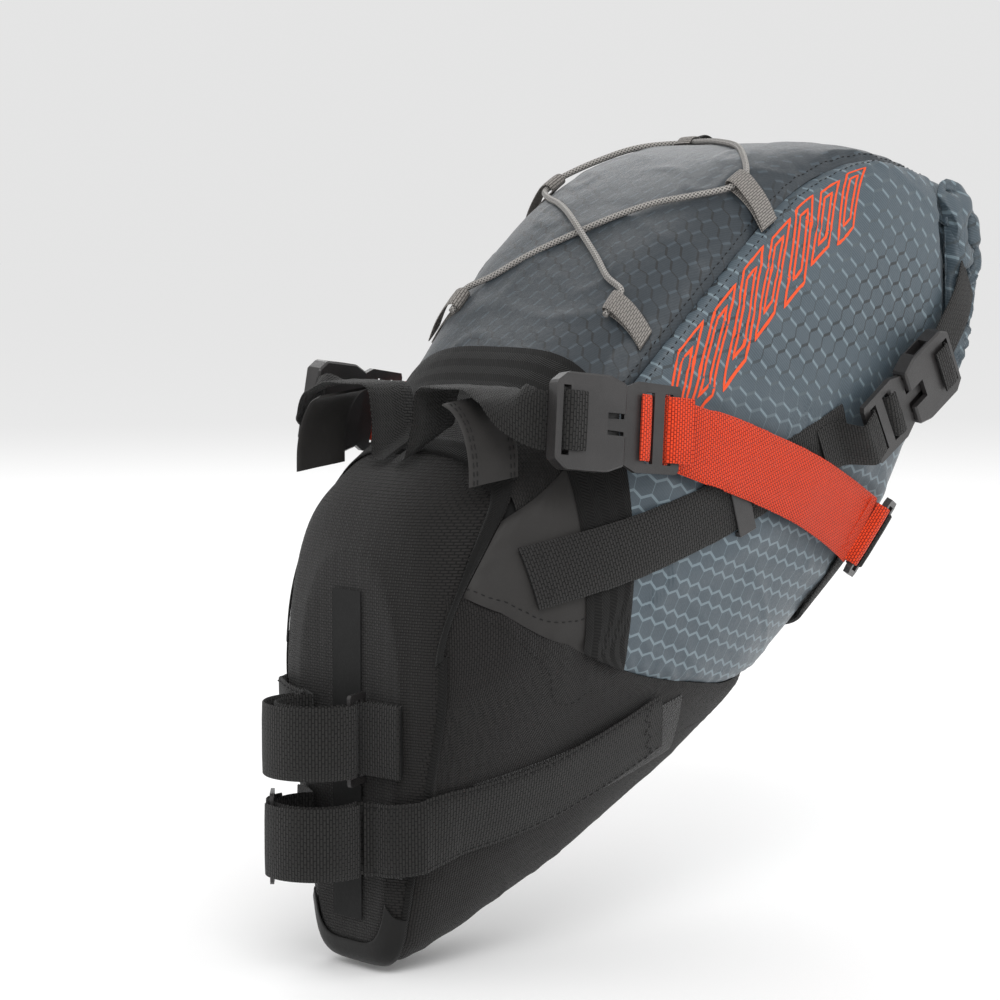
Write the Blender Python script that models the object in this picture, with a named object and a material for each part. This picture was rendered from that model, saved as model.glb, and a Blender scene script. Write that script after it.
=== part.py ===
"""Bikepacking saddle bag: roll-top seat pack with its straps, buckles and bungee.

Frame: metres. The seatpost's axis is Z, the saddle rails run at z = 0, +X points to the
rear of the bicycle and +Y to its right. Lengths below are in millimetres until they
reach finish(), which writes metres.
"""
import math

import bmesh
import bpy
import numpy as np
from mathutils import Matrix, Vector
from mathutils.bvhtree import BVHTree

MM = 0.001
POST_R = 15.45          # seatpost radius the straps close round
WEB = 30.0              # post strap and orange strap width
NARROW_WEB = 25.0       # compression strap width
WEB_T = 1.3             # webbing thickness
RAIL_SPACE = 10.0       # clear height and width kept for a rail
LINER_INSET = 1.4       # gap kept between the liner and the bag's surface
SKIN = (0.8, 2.0)       # outer fabric: its inner and outer height above the surface
PATCH = (2.4, 3.4)      # second layer of tape, pile and reinforcement
BAND = (2.7, 3.5)       # herringbone band over the seam
STRAP = (3.9, 5.2)      # webbing that lies on the bag
OVER = (8.0, 9.3)       # webbing that crosses over other webbing
UPPER_Z = -121.0        # middle of the upper post strap
LOWER_Z = -162.0        # middle of the lower post strap at the post
CORD_R = 1.4            # bungee cord radius

# Rings of the stuffed bag from the post to the roll: low x, z; high x, z; half-width
# low and high; how square the upper and lower halves are.
RINGS = [
    (18.5, -122, 18.5, -118, 1.5, 1.5, 2.0, 2.0),
    (18.5, -206, 18.5, -48, 22, 33, 2.6, 5.0),
    (24.0, -215, 28.0, -25, 28, 50, 3.0, 5.5),
    (48.0, -208, 46.0, -13, 37, 61, 3.2, 4.2),
    (78.0, -196, 74.0, 4, 46, 69, 3.4, 3.3),
    (122.0, -176, 112.0, 44, 57, 77, 3.6, 2.8),
    (183.0, -141, 160.0, 90, 66, 82, 3.8, 2.6),
    (240.0, -96, 206.0, 117, 73, 84, 3.8, 2.6),
    (278.0, -55, 250.0, 121, 77, 84, 3.6, 2.6),
    (296.0, 0, 286.0, 111, 80, 82, 3.0, 2.6),
    (297.0, 58, 296.0, 62, 2.0, 2.0, 2.0, 2.0),
]
LAST = len(RINGS) - 1
SEAM = math.radians(50)           # top panel's seam, from the ring's top
SEAM_GAP = 0.09                   # half the gap at the front seam, in rings


# ---------------------------------------------------------------- scene and meshes
def clear_scene():
    for thing in list(bpy.data.objects):
        bpy.data.objects.remove(thing, do_unlink=True)


def material(name, colour, rough, metal=0.0):
    made = bpy.data.materials.get(name)
    if made is None:
        made = bpy.data.materials.new(name)
        made.use_nodes = True
        shader = made.node_tree.nodes["Principled BSDF"]
        shader.inputs["Base Color"].default_value = (*colour, 1)
        shader.inputs["Roughness"].default_value = rough
        shader.inputs["Metallic"].default_value = metal
    return made


def finish(name, made, mat, smooth_angle=35):
    """Turn a bmesh in millimetres into a named object in metres."""
    bmesh.ops.recalc_face_normals(made, faces=made.faces)
    if made.calc_volume(signed=True) < 0:
        bmesh.ops.reverse_faces(made, faces=made.faces)
    bmesh.ops.scale(made, vec=(MM, MM, MM), verts=made.verts)
    data = bpy.data.meshes.new(name)
    made.to_mesh(data)
    made.free()
    data.shade_smooth()
    data.set_sharp_from_angle(angle=math.radians(smooth_angle))
    thing = bpy.data.objects.new(name, data)
    bpy.context.collection.objects.link(thing)
    data.materials.append(mat)
    return thing


# ---------------------------------------------------------------- the bag's surface
def smooth(t):
    t = min(max(t, 0.0), 1.0)
    return t * t * (3 - 2 * t)


def ring_values(s):
    """Ring values at s, on a curve through the rings (Catmull-Rom)."""
    s = min(max(s, 0.0), LAST)
    i = min(int(s), LAST - 1)
    t = s - i
    p = [np.array(RINGS[min(max(k, 0), LAST)], float) for k in (i - 1, i, i + 1, i + 2)]
    m1 = (p[2] - p[0]) * (0.5 if i > 0 else 1.0)
    m2 = (p[3] - p[1]) * (0.5 if i < LAST - 1 else 1.0)
    if i == 0 or i == LAST - 1:
        return p[1] + (p[2] - p[1]) * t
    if i == 1:
        m1 = p[2] - p[1]
    if i == LAST - 2:
        m2 = (p[2] - p[1]) * 0.3
    h = (2 * t**3 - 3 * t**2 + 1, t**3 - 2 * t**2 + t, -2 * t**3 + 3 * t**2, t**3 - t**2)
    return h[0] * p[1] + h[1] * m1 + h[2] * p[2] + h[3] * m2


def surface(s, a):
    """Point on the liner at ring s and angle a, which is 0 at the top and pi below."""
    xl, zl, xh, zh, wl, wh, square, square_low = ring_values(s)
    c, d = math.cos(a), math.sin(a)
    n = square if c > 0 else square_low
    v = math.copysign(abs(c) ** (2 / n), c)
    side = math.copysign(abs(d) ** (2 / n), d)
    h = (1 + v) / 2
    width = wl + (wh - wl) * smooth((h - 0.05) / 0.6)
    return Vector((xl + (xh - xl) * h, -side * width, zl + (zh - zl) * h))


def outward(s, a):
    step = 0.04
    s = min(max(s, 0.3), LAST - 0.3)
    along = surface(s + step, a) - surface(s - step, a)
    around = surface(s, a + step) - surface(s, a - step)
    return along.cross(around).normalized() * -1.0


def lifted(s, a, height):
    if s < 0.9:
        return surface(s, a) + Vector((-height, 0, 0))
    if s > LAST - 0.9:
        return surface(s, a) + Vector((height, 0, 0))
    return surface(s, a) + outward(s, a) * height


def surface_tree():
    """Fine copy of the liner's surface that webbing is laid on."""
    turns, steps = 96, 90
    points = [surface(0.2 + (LAST - 0.4) * i / steps, 2 * math.pi * k / turns)
              for i in range(steps + 1) for k in range(turns)]
    faces = [(i * turns + k, i * turns + (k + 1) % turns,
              (i + 1) * turns + (k + 1) % turns, (i + 1) * turns + k)
             for i in range(steps) for k in range(turns)]
    return BVHTree.FromPolygons(points, faces)


TREE = surface_tree()
OUT_SIGN = 1 if TREE.ray_cast(Vector((200, 0, 400)), Vector((0, 0, -1)))[1].z > 0 else -1


def clear_of(point, gap):
    """The point, pushed out of the bag's surface to at least this gap."""
    near, normal, _, _ = TREE.find_nearest(point)
    out = normal * OUT_SIGN
    return point if (point - near).dot(out) >= gap else near + out * gap


def clear_strip(point, up, half, gap):
    """The middle of a strip, pushed out until its whole width clears the bag."""
    for _ in range(25):
        _, normal, _, _ = TREE.find_nearest(point)
        worst = gap
        for t in (-1, -0.5, 0, 0.5, 1):
            q = point + up * half * t
            at, face, _, _ = TREE.find_nearest(q)
            worst = min(worst, (q - at).dot(face * OUT_SIGN))
        if worst > gap - 0.03:
            break
        point = point + normal * OUT_SIGN * (gap - worst)
    return point


def top_way(x, y):
    """Direction of the top surface towards the rear at x, y."""
    return (on_top(x + 3, y, 0) - on_top(x - 3, y, 0)).normalized()


def on_side(x, z, hand, height):
    """Point above the bag's side at x, z; hand is -1 for the left, 1 for the right."""
    start = Vector((x, hand * 200, z))
    hit, normal, _, _ = TREE.ray_cast(start, Vector((0, -hand, 0)))
    if hit is None:
        near, normal, _, _ = TREE.find_nearest(Vector((x, hand * 60, z)))
        hit = near
    if normal.y * hand < 0:
        normal = -normal
    return hit + normal * height


def on_top(x, y, height):
    hit, normal, _, _ = TREE.ray_cast(Vector((x, y, 400)), Vector((0, 0, -1)))
    if normal.z < 0:
        normal = -normal
    return hit + normal * height


# ---------------------------------------------------------------- solid builders
def closed_grid(name, inner, outer, mat, wrap=False):
    """Closed sheet between two equal grids of points (rows of columns)."""
    made = bmesh.new()
    rows, cols = len(outer), len(outer[0])
    low = [[made.verts.new(p) for p in row] for row in inner]
    high = [[made.verts.new(p) for p in row] for row in outer]
    span = cols if wrap else cols - 1
    for r in range(rows - 1):
        for c in range(span):
            d = (c + 1) % cols
            made.faces.new((high[r][c], high[r][d], high[r + 1][d], high[r + 1][c]))
            made.faces.new((low[r][c], low[r + 1][c], low[r + 1][d], low[r][d]))
    for c in range(span):
        d = (c + 1) % cols
        made.faces.new((low[0][c], low[0][d], high[0][d], high[0][c]))
        made.faces.new((low[-1][d], low[-1][c], high[-1][c], high[-1][d]))
    if not wrap:
        for r in range(rows - 1):
            made.faces.new((low[r + 1][0], low[r][0], high[r][0], high[r + 1][0]))
            made.faces.new((low[r][-1], low[r + 1][-1], high[r + 1][-1], high[r][-1]))
    return finish(name, made, mat)


def skin(name, s_range, a_range, layer, mat, shape=(12, 12)):
    """Sheet on the bag: s_range(v) and a_range(u) each give a low and a high value."""
    def place(u, v, height):
        s0, s1 = s_range(v)
        s = s0 + (s1 - s0) * u
        a0, a1 = a_range(s)
        return lifted(s, a0 + (a1 - a0) * v, height)
    rows, cols = shape
    grids = [[[place(r / rows, c / cols, height) for c in range(cols + 1)]
              for r in range(rows + 1)] for height in layer]
    return closed_grid(name, grids[0], grids[1], mat)


def draped(name, path, width, hand, layer, mat, across=3, step=7.0, lead=None):
    """Webbing laid on the bag's side along a path of x, z points.

    lead is a frame whose y line the webbing starts from, before it meets the bag.
    """
    line = resample([Vector((p[0], 0, p[1])) for p in path], step)
    grids = []
    for height in layer:
        rows = []
        for i, p in enumerate(line):
            way = (line[min(i + 1, len(line) - 1)] - line[max(i - 1, 0)]).normalized()
            side = Vector((-way.z, 0, way.x))
            rows.append([on_side(*(p + side * width * (k / across - 0.5)).xz, hand, height)
                         for k in range(across + 1)])
        if lead:
            start = [lead @ Vector((0, -hand * width * (k / across - 0.5), height - layer[0]))
                     for k in range(across + 1)]
            rows = [[a.lerp(b, t) for a, b in zip(start, rows[0])]
                    for t in (0, 0.33, 0.67)] + rows
        grids.append(rows)
    return closed_grid(name, grids[0], grids[1], mat)


def ribbon(name, path, ups, width, thick, mat):
    """Flat strip along a 3-D path; ups holds the width direction at each point."""
    inner, outer = [], []
    for i, p in enumerate(path):
        way = (path[min(i + 1, len(path) - 1)] - path[max(i - 1, 0)]).normalized()
        up = ups[i] if isinstance(ups, list) else ups
        face = way.cross(up).normalized()
        wide = up.normalized() * width / 2
        inner.append([p - wide - face * thick / 2, p + wide - face * thick / 2])
        outer.append([p - wide + face * thick / 2, p + wide + face * thick / 2])
    return closed_grid(name, inner, outer, mat)


def resample(points, step):
    """Points about step apart on a smooth curve through the given points."""
    out = []
    for i in range(len(points) - 1):
        p = [points[max(i - 1, 0)], points[i], points[i + 1],
             points[min(i + 2, len(points) - 1)]]
        count = max(1, round((p[2] - p[1]).length / step))
        for k in range(count):
            t = k / count
            m1, m2 = (p[2] - p[0]) / 2, (p[3] - p[1]) / 2
            out.append((2 * t**3 - 3 * t**2 + 1) * p[1] + (t**3 - 2 * t**2 + t) * m1
                       + (-2 * t**3 + 3 * t**2) * p[2] + (t**3 - t**2) * m2)
    out.append(points[-1].copy())
    return out


def box(made, low, high, place=Matrix()):
    size = Vector(high) - Vector(low)
    middle = (Vector(high) + Vector(low)) / 2
    shape = Matrix.LocRotScale(middle, None, size)
    return bmesh.ops.create_cube(made, size=1, matrix=place @ shape)["verts"]


def cut_plate(name, outline, low, high, windows, place, mat, bevel=0.0):
    """Flat moulding: an outline extruded from low to high, with box-shaped windows."""
    made = bmesh.new()
    bottom = [made.verts.new((u, v, low)) for u, v in outline]
    face = made.faces.new(bottom)
    grown = bmesh.ops.extrude_face_region(made, geom=[face])["geom"]
    bmesh.ops.translate(made, vec=(0, 0, high - low),
                        verts=[g for g in grown if isinstance(g, bmesh.types.BMVert)])
    if bevel:
        bmesh.ops.recalc_face_normals(made, faces=made.faces)
        bmesh.ops.bevel(made, geom=made.edges[:], offset=bevel, segments=1, affect="EDGES")
    bmesh.ops.transform(made, matrix=place, verts=made.verts)
    body = finish(name, made, mat)
    for i, (a, b) in enumerate(windows):
        cutter_mesh = bmesh.new()
        box(cutter_mesh, a, b, place)
        cutter = finish(f"{name}_window_{i}", cutter_mesh, mat)
        cutter.hide_render = True
        cutter.display_type = "WIRE"
        cut = body.modifiers.new(f"window_{i}", "BOOLEAN")
        cut.operation = "DIFFERENCE"
        cut.object = cutter
        cut.solver = "EXACT"
    return body


def frame_at(centre, along, out):
    """Matrix whose x runs along, z points out and origin is the centre."""
    along = along.normalized()
    out = (out - along * out.dot(along)).normalized()
    turn = Matrix((along, out.cross(along), out)).transposed().to_4x4()
    return Matrix.Translation(centre) @ turn


def cord(name, points, mat):
    line = resample(points, 8.0)
    curve = bpy.data.curves.new(name, "CURVE")
    curve.dimensions = "3D"
    curve.bevel_depth = CORD_R * MM
    curve.bevel_resolution = 1
    curve.use_fill_caps = True
    spline = curve.splines.new("POLY")
    spline.points.add(len(line) - 1)
    for made, p in zip(spline.points, line):
        made.co = (*(p * MM), 1)
    thing = bpy.data.objects.new(name, curve)
    bpy.context.collection.objects.link(thing)
    curve.materials.append(mat)
    return thing


# ---------------------------------------------------------------- bag body and panels
def liner(mat):
    """The stuffed inner liner, one closed solid that fills the bag."""
    made = bmesh.new()
    turns, levels = 36, [0.0, 0.6, 1.0, 1.4, 1.7, 2.0, 2.5, 3, 3.5, 4, 4.7, 5.4, 6, 6.6, 7.2, 7.8,
                         8.4, 9.0, 10]
    rows = [[made.verts.new(lifted(s, 2 * math.pi * k / turns, -LINER_INSET))
             for k in range(turns)] for s in levels]
    for low, high in zip(rows, rows[1:]):
        for k in range(turns):
            j = (k + 1) % turns
            made.faces.new((low[k], low[j], high[j], high[k]))
    made.faces.new(rows[0])
    made.faces.new(rows[-1][::-1])
    return finish("inner_liner", made, mat)


def front_edge(a):
    """Ring where the front panel meets the sides; further back towards the top."""
    lean = smooth((math.radians(80) - a) / math.radians(45))
    return 2.0 + 1.7 * lean


def hull_edge(s):
    """Angle of the lower hull's upper edge at ring s."""
    knots = [(2.0, 72), (3.0, 80), (4.0, 88), (5.0, 104), (6.0, 134), (6.7, 170)]
    values = [math.radians(v) for _, v in knots]
    return float(np.interp(s, [k for k, _ in knots], values))


def front_panel(mat):
    turns = 36
    def rows(height):
        out = []
        for part in (-0.8, -0.2, 0, 0.2, 0.4, 0.6, 0.8, 1.0):
            ring = []
            for k in range(turns):
                a = 2 * math.pi * k / turns
                edge = front_edge(min(a, 2 * math.pi - a)) - SEAM_GAP
                at = 1 + part if part < 0 else 1 + (edge - 1) * part
                ring.append(lifted(at, a, height))
            out.append(ring)
        return out
    made = bmesh.new()
    low = [[made.verts.new(p) for p in ring] for ring in rows(SKIN[0])]
    high = [[made.verts.new(p) for p in ring] for ring in rows(SKIN[1])]
    for sheet in (low, high):
        for r in range(len(sheet) - 1):
            for k in range(turns):
                j = (k + 1) % turns
                made.faces.new((sheet[r][k], sheet[r][j], sheet[r + 1][j], sheet[r + 1][k]))
        made.faces.new(sheet[0])
    for k in range(turns):
        j = (k + 1) % turns
        made.faces.new((low[-1][k], low[-1][j], high[-1][j], high[-1][k]))
    return finish("front_panel", made, mat)


def grip_start(v):
    """Ring where the grip panel starts, v running from its top seam to the hull."""
    s = 2.5
    for _ in range(14):
        s = front_edge(SEAM + (hull_edge(s) - SEAM) * v) + SEAM_GAP
    return s


def panels(hex_fabric, dark_fabric, rubbery, ballistic, tape, smooth_black):
    gap = 0.012
    front_panel(ballistic)
    skin("top_panel", lambda v: (3.72, 9.0), lambda s: (-SEAM + gap, SEAM - gap), SKIN,
         dark_fabric, (15, 12))
    band = (4.55, 4.95)
    for hand, tag in ((1, "left"), (-1, "right")):
        def side(low, high):
            return (hand * low, hand * high) if hand > 0 else (-high, -low)
        skin(f"side_panel_{tag}", lambda v: (4.62, 9.0),
             lambda s: side(SEAM + gap, min(hull_edge(s) - gap, math.radians(172))),
             SKIN, hex_fabric, (15, 12))
        skin(f"grip_panel_{tag}",
             lambda v: (grip_start(v if hand > 0 else 1 - v), 4.6),
             lambda s: side(SEAM + gap, hull_edge(s) - gap), SKIN, rubbery, (9, 9))
        skin(f"side_band_{tag}", lambda v: band,
             lambda s: side(SEAM + 0.08, hull_edge(s) - 0.02), BAND, tape, (2, 16))
    skin("lower_hull", lambda v: (2.0 + SEAM_GAP, 6.66),
         lambda s: (hull_edge(s) + gap, 2 * math.pi - hull_edge(s) - gap),
         SKIN, ballistic, (12, 22))
    skin("lower_boot", lambda v: (1.15, 1.93), lambda s: (math.radians(122), math.radians(238)),
         PATCH, smooth_black, (4, 18))
    skin("rear_panel_below", lambda v: (6.72, 9.0), lambda s: (math.radians(173),
         math.radians(187)), SKIN, hex_fabric, (8, 2))


# ---------------------------------------------------------------- roll-top closure
ROLL_SIDE = [(299.0, 14), (300.0, 56), (298.0, 88), (293.5, 101), (299, 106.5), (309, 104),
             (318, 92), (322, 74), (318, 50), (309, 22)]      # x, z round the roll's end


def roll_top(fabric):
    """Rolled mouth of the bag: a soft bar with a crowned top."""
    made = bmesh.new()
    middle = Vector((307, 64))
    rings = []
    for y, part in ((-81, 0.82), (-77, 0.94), (-62, 1.0), (-30, 1.0), (0, 1.0), (30, 1.0),
                    (62, 1.0), (77, 0.94), (81, 0.82)):
        crown = 8 * (1 - (y / 81) ** 2)
        ring = [middle + (Vector(p) - middle) * part for p in ROLL_SIDE]
        rings.append([made.verts.new((p.x, y, p.y + crown * smooth((p.y - 50) / 50)))
                      for p in ring])
    count = len(ROLL_SIDE)
    for low, high in zip(rings, rings[1:]):
        for k in range(count):
            j = (k + 1) % count
            made.faces.new((low[k], low[j], high[j], high[k]))
    made.faces.new(rings[0])
    made.faces.new(rings[-1])
    finish("roll_top", made, fabric, 50)


def roll_web(socket, hand, tag, mat):
    """Webbing from the rolled mouth's end to the slot of the roll's buckle."""
    line = [socket @ Vector(p) for p in ((-20, 0, 9.3), (-27, 0, 9.3), (-28.75, 0, 7.6),
                                         (-28.75, 0, 0.6), (-30.5, 0, -1.3), (-36, 0, -1.9))]
    line += [Vector((301, hand * 86.5, 51)), Vector((309, hand * 83.5, 64))]
    up = socket.to_3x3() @ Vector((0, 1, 0))
    ribbon(f"roll_web_{tag}", line, up, NARROW_WEB - 4, WEB_T, mat)


# ---------------------------------------------------------------- side-release buckles
def buckle(tag, place, half, webbing, plastic):
    """Female half, male half and the webbing on the male half's bar.

    In the buckle's own frame x runs from the female half to the male half and z
    points away from the bag. half is half the webbing's width.
    """
    wide = half + 4.5
    nose = wide - 4
    body = [(-33, -nose), (-33, nose), (-28, wide), (-8, wide), (0, nose + 1), (0, -nose - 1),
            (-8, -wide), (-28, -wide)]
    inside = half - 1.0
    cut_plate(f"{tag}_socket", body, 0, 8, [
        ((-24, -inside, 2.4), (2, inside, 5.6)),
        ((-20, -wide - 2, 1.6), (-10, -inside + 3, 6.4)),
        ((-20, inside - 3, 1.6), (-10, wide + 2, 6.4)),
        ((-30.5, -half + 1, -1), (-27, half - 1, 9)),
        ((-9, -4.5, 4), (2, 4.5, 9)),
    ], place, plastic, 0.8)
    prong = inside - 0.7
    arm = prong - 3.2
    base = 0.5
    outline = [(base, -2.6), (-15, -2.0), (-15, 2.0), (base, 2.6), (base, arm),
               (-10, arm + 0.6), (-18.5, arm), (-19, arm + 1.5), (-11, prong), (-9.5, prong - 0.8),
               (base, prong), (base, nose), (7, wide - 1), (27, half + 3), (28, half + 1),
               (28, -half - 1), (27, -half - 3), (7, -wide + 1), (base, -nose),
               (base, -prong), (-9.5, -prong + 0.8), (-11, -prong), (-19, -arm - 1.5),
               (-18.5, -arm), (-10, -arm - 0.6), (base, -arm)]
    cut_plate(f"{tag}_prong", outline, 2.8, 5.2, [
        ((11, -half + 0.5, 0), (15, half - 0.5, 8)),
        ((20, -half + 0.5, 0), (24, half - 0.5, 8)),
    ], place, plastic)
    bar = 17.5
    path = [Vector((33, 0, 7.4)), Vector((28, 0, 7.2)), Vector((24.2, 0, 6.6))] \
        + [Vector((22, 0, 5.4)), Vector((21.8, 0, 3.4)), Vector((19.5, 0, 1.5)),
           Vector((bar, 0, 1.3)), Vector((15.0, 0, 1.5)), Vector((13.4, 0, 3.4)),
           Vector((13.0, 0, 5.4)), Vector((11.0, 0, 6.6)), Vector((8.0, 0, 6.6))]
    line = [place @ p for p in path]
    up = (place.to_3x3() @ Vector((0, 1, 0)))
    ribbon(f"{tag}_web", line, up, 2 * half - 3.0, WEB_T, webbing)


def side_frame(x, z, x2, z2, hand, height):
    """Buckle frame on the bag's side, from its first point towards its second."""
    a = on_side(x, z, hand, height)
    b = on_side(x2, z2, hand, height)
    out = (on_side(x, z, hand, height + 10) - a) + (on_side(x2, z2, hand, height + 10) - b)
    return frame_at(a, b - a, out)


# ---------------------------------------------------------------- straps on the sides
RELEASE_AT = (91.0, 80.5, 5.5)               # mouth of the orange strap's buckle
RELEASE_WAY = (1.0, 0.2, -0.115)             # direction in which its prongs leave
CINCH_SPOT = (257.0, 13.0, 245.0, 4.5)       # roll-end buckle: mouth and direction
ORANGE_PATH = [(138, -5), (150, -8), (200, -25), (246, -44)]
CINCH_PATH = [(58, -56), (100, -46), (150, -31), (200, -12), (226, -1)]
KEEPER_SPOT = (160.0, -27.5, 170.0, -23.7)   # keeper on the compression strap


def release_frame(hand):
    """Frame of the orange strap's buckle, which hangs free beside the rails."""
    x, y, z = RELEASE_AT
    a, b, c = RELEASE_WAY
    return frame_at(Vector((x, hand * y, z)), Vector((a, hand * b, c)),
                    Vector((-0.2, hand, 0.1)))


def side_straps(hand, tag, orange, black, plastic):
    draped(f"cinch_strap_{tag}", CINCH_PATH, NARROW_WEB, hand, STRAP, black)
    mouth = release_frame(hand)
    draped(f"orange_strap_{tag}", ORANGE_PATH, WEB, hand, OVER, orange,
           lead=mouth @ Matrix.Translation((25, 0, -2.4)))
    buckle(f"release_buckle_{tag}", mouth, WEB / 2, orange, plastic)
    roll_mouth = side_frame(*CINCH_SPOT, hand, STRAP[1] + 1.6)
    buckle(f"cinch_buckle_{tag}", roll_mouth, NARROW_WEB / 2, black, plastic)
    roll_web(roll_mouth, hand, tag, black)
    tail_ring(hand, tag, plastic)
    keeper(hand, tag, plastic)
    draped(f"belly_strap_{tag}", [(258, -44), (250, -66), (236, -86)], 20, hand, STRAP, black,
           across=4, step=4)


def keeper(hand, tag, plastic):
    """Plastic keeper that slides along the compression strap."""
    place = side_frame(*KEEPER_SPOT, hand, SKIN[1] + 0.6)
    half = NARROW_WEB / 2
    outline = [(-5, -half - 3), (5, -half - 3), (5, half + 3), (-5, half + 3)]
    tunnel = ((-9, -half - 1.0, 0.45), (9, half + 1.0, 3.4))
    cut_plate(f"keeper_{tag}", outline, 0, 4.2, [tunnel], place, plastic, 0.3)


def tail_ring(hand, tag, plastic):
    """Rectangular ring at the orange strap's rear end."""
    place = side_frame(249.5, -45.3, 253, -46.5, hand, OVER[1] + 0.6)
    half, bar = WEB / 2 + 1.5, 2.6
    outline = [(-1, -half - bar), (7, -half - bar), (8, -half), (8, half), (7, half + bar),
               (-1, half + bar), (-2, half), (-2, -half)]
    cut_plate(f"tail_ring_{tag}", outline, 0, 2.8, [((0.4, -half, -1), (5.6, half, 4))],
              place, plastic)


# ---------------------------------------------------------------- straps round the post
def arc(radius, start, end, z, count):
    """Points round the post from one bearing to another, in degrees from +X."""
    bearings = [math.radians(start + (end - start) * i / count) for i in range(count + 1)]
    return [Vector((radius * math.cos(b), radius * math.sin(b), z)) for b in bearings]


def around_ring(bearing, way, radius, turn_r, z):
    """Fold of webbing round a ring's bar, ahead of the given bearing."""
    middle = arc(radius + turn_r, bearing, bearing, 0, 1)[0]
    radial = middle.normalized()
    ahead = Vector((-radial.y, radial.x, 0)) * way
    return [middle + ahead * math.sin(f) * 3.4 - radial * math.cos(f) * turn_r + UP * z
            for f in (math.pi * i / 6 for i in range(1, 6))]


def sewn_end(hand, z):
    """Webbing from the bag's front seam to the post."""
    corner = [Vector((20, hand * 32, z)), Vector((15.5, hand * 25.5, z)),
              Vector((12.0, hand * 19.5, z))]
    return [clear_strip(p, UP, WEB / 2, SKIN[1] + 1.2 + WEB_T / 2) for p in corner]


def post_strap(name, hand, z, ring_at, leave_at, mat):
    """Webbing sewn to one side, round the post, through its ring and back over itself."""
    path = sewn_end(hand, z) + arc(INNER_R, hand * 58, ring_at, z, 16)
    path += around_ring(ring_at, hand, INNER_R, (OUTER_R - INNER_R) / 2, z)
    path += arc(OUTER_R, ring_at, leave_at, z, 14)
    ribbon(name, path, UP, WEB, WEB_T, mat)


def ring_anchor(name, hand, z, ring_at, mat):
    """Short webbing that holds the ring, sewn to the other side of the bag."""
    path = sewn_end(hand, z) + arc(INNER_R, hand * 58, ring_at, z, 6)
    path += around_ring(ring_at, hand, INNER_R, (OUTER_R - INNER_R) / 2, z)
    path += arc(OUTER_R, ring_at, ring_at - hand * 26, z, 4)
    ribbon(name, path, UP, WEB, WEB_T, mat)


def short_anchor(name, hand, z, bar_at, mat):
    """Loop of webbing from the bag's corner round a ring's bar close to it."""
    bar = arc((INNER_R + OUTER_R) / 2, bar_at, bar_at, z, 1)[0]
    seat = clear_strip(Vector((19, hand * 33, z)), UP, WEB / 2, SKIN[1] + 2.3)
    way = (bar - seat).normalized()
    across = Vector((-way.y, way.x, 0))
    turn = 2.2
    path = [seat - across * 0.95, seat.lerp(bar, 0.55) - across * 1.3]
    path += [bar - across * math.cos(f) * turn + way * math.sin(f) * 2.6
             for f in (math.pi * i / 6 for i in range(7))]
    path += [seat.lerp(bar, 0.55) + across * 1.3, seat + across * 0.95]
    ribbon(name, path, UP, WEB, WEB_T, mat)


def ring_wire(name, bearing, z, plastic):
    """Rectangular ring lying along the post, one bar in each webbing fold."""
    b = math.radians(bearing)
    radial = Vector((math.cos(b), math.sin(b), 0))
    place = Matrix.Translation(radial * (INNER_R + OUTER_R - 1.9) / 2 + UP * z) @ \
        Matrix((UP.cross(radial), UP, radial * -1)).transposed().to_4x4()
    half, wide = WEB / 2 + 1.2, 7.0
    outline = [(-wide, -half - 1.5), (-wide + 1, -half - 2.5), (wide - 1, -half - 2.5),
               (wide, -half - 1.5), (wide, half + 1.5), (wide - 1, half + 2.5),
               (-wide + 1, half + 2.5), (-wide, half + 1.5)]
    cut_plate(name, outline, -0.8, 0.8,
              [((-wide + 2.2, -half, -3), (wide - 2.2, half, 3))], place, plastic)


UP = Vector((0, 0, 1))
INNER_R = POST_R + 1.2               # inner layer of a post strap
OUTER_R = POST_R + 6.2               # its returning layer
LOWER_RING = 140.0                   # bearings of the rings round the post
UPPER_RING = -66.0
RING_REACH = 20.0                    # from a ring's middle to where a fold starts


def post_straps(black, plastic, pile):
    """Both hook-and-loop straps: the lower is sewn left, the upper right."""
    post_strap("lower_post_strap", -1, LOWER_Z, LOWER_RING + RING_REACH - 360, -77, black)
    ring_anchor("lower_anchor", 1, LOWER_Z, LOWER_RING - RING_REACH, black)
    ring_wire("lower_ring", LOWER_RING, LOWER_Z, plastic)
    post_strap("upper_post_strap", 1, UPPER_Z, UPPER_RING - RING_REACH + 360, 77, black)
    short_anchor("upper_anchor", -1, UPPER_Z, UPPER_RING + 17.5, black)
    ring_wire("upper_ring", UPPER_RING, UPPER_Z, plastic)
    draped("lower_pile", [(44, -151), (92, -140), (152, -124)], 33, -1, PATCH, pile, 4, 6)
    draped("upper_pile", [(44, -117), (66, -116.5), (88, -116)], 33, 1, PATCH, pile, 4, 6)
    tail("lower_tail", -1, [(34, -154), (80, -143), (136, -120)], LOWER_Z, black)
    tail("upper_tail", 1, [(34, -118), (58, -117), (84, -116)], UPPER_Z, black)


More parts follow.
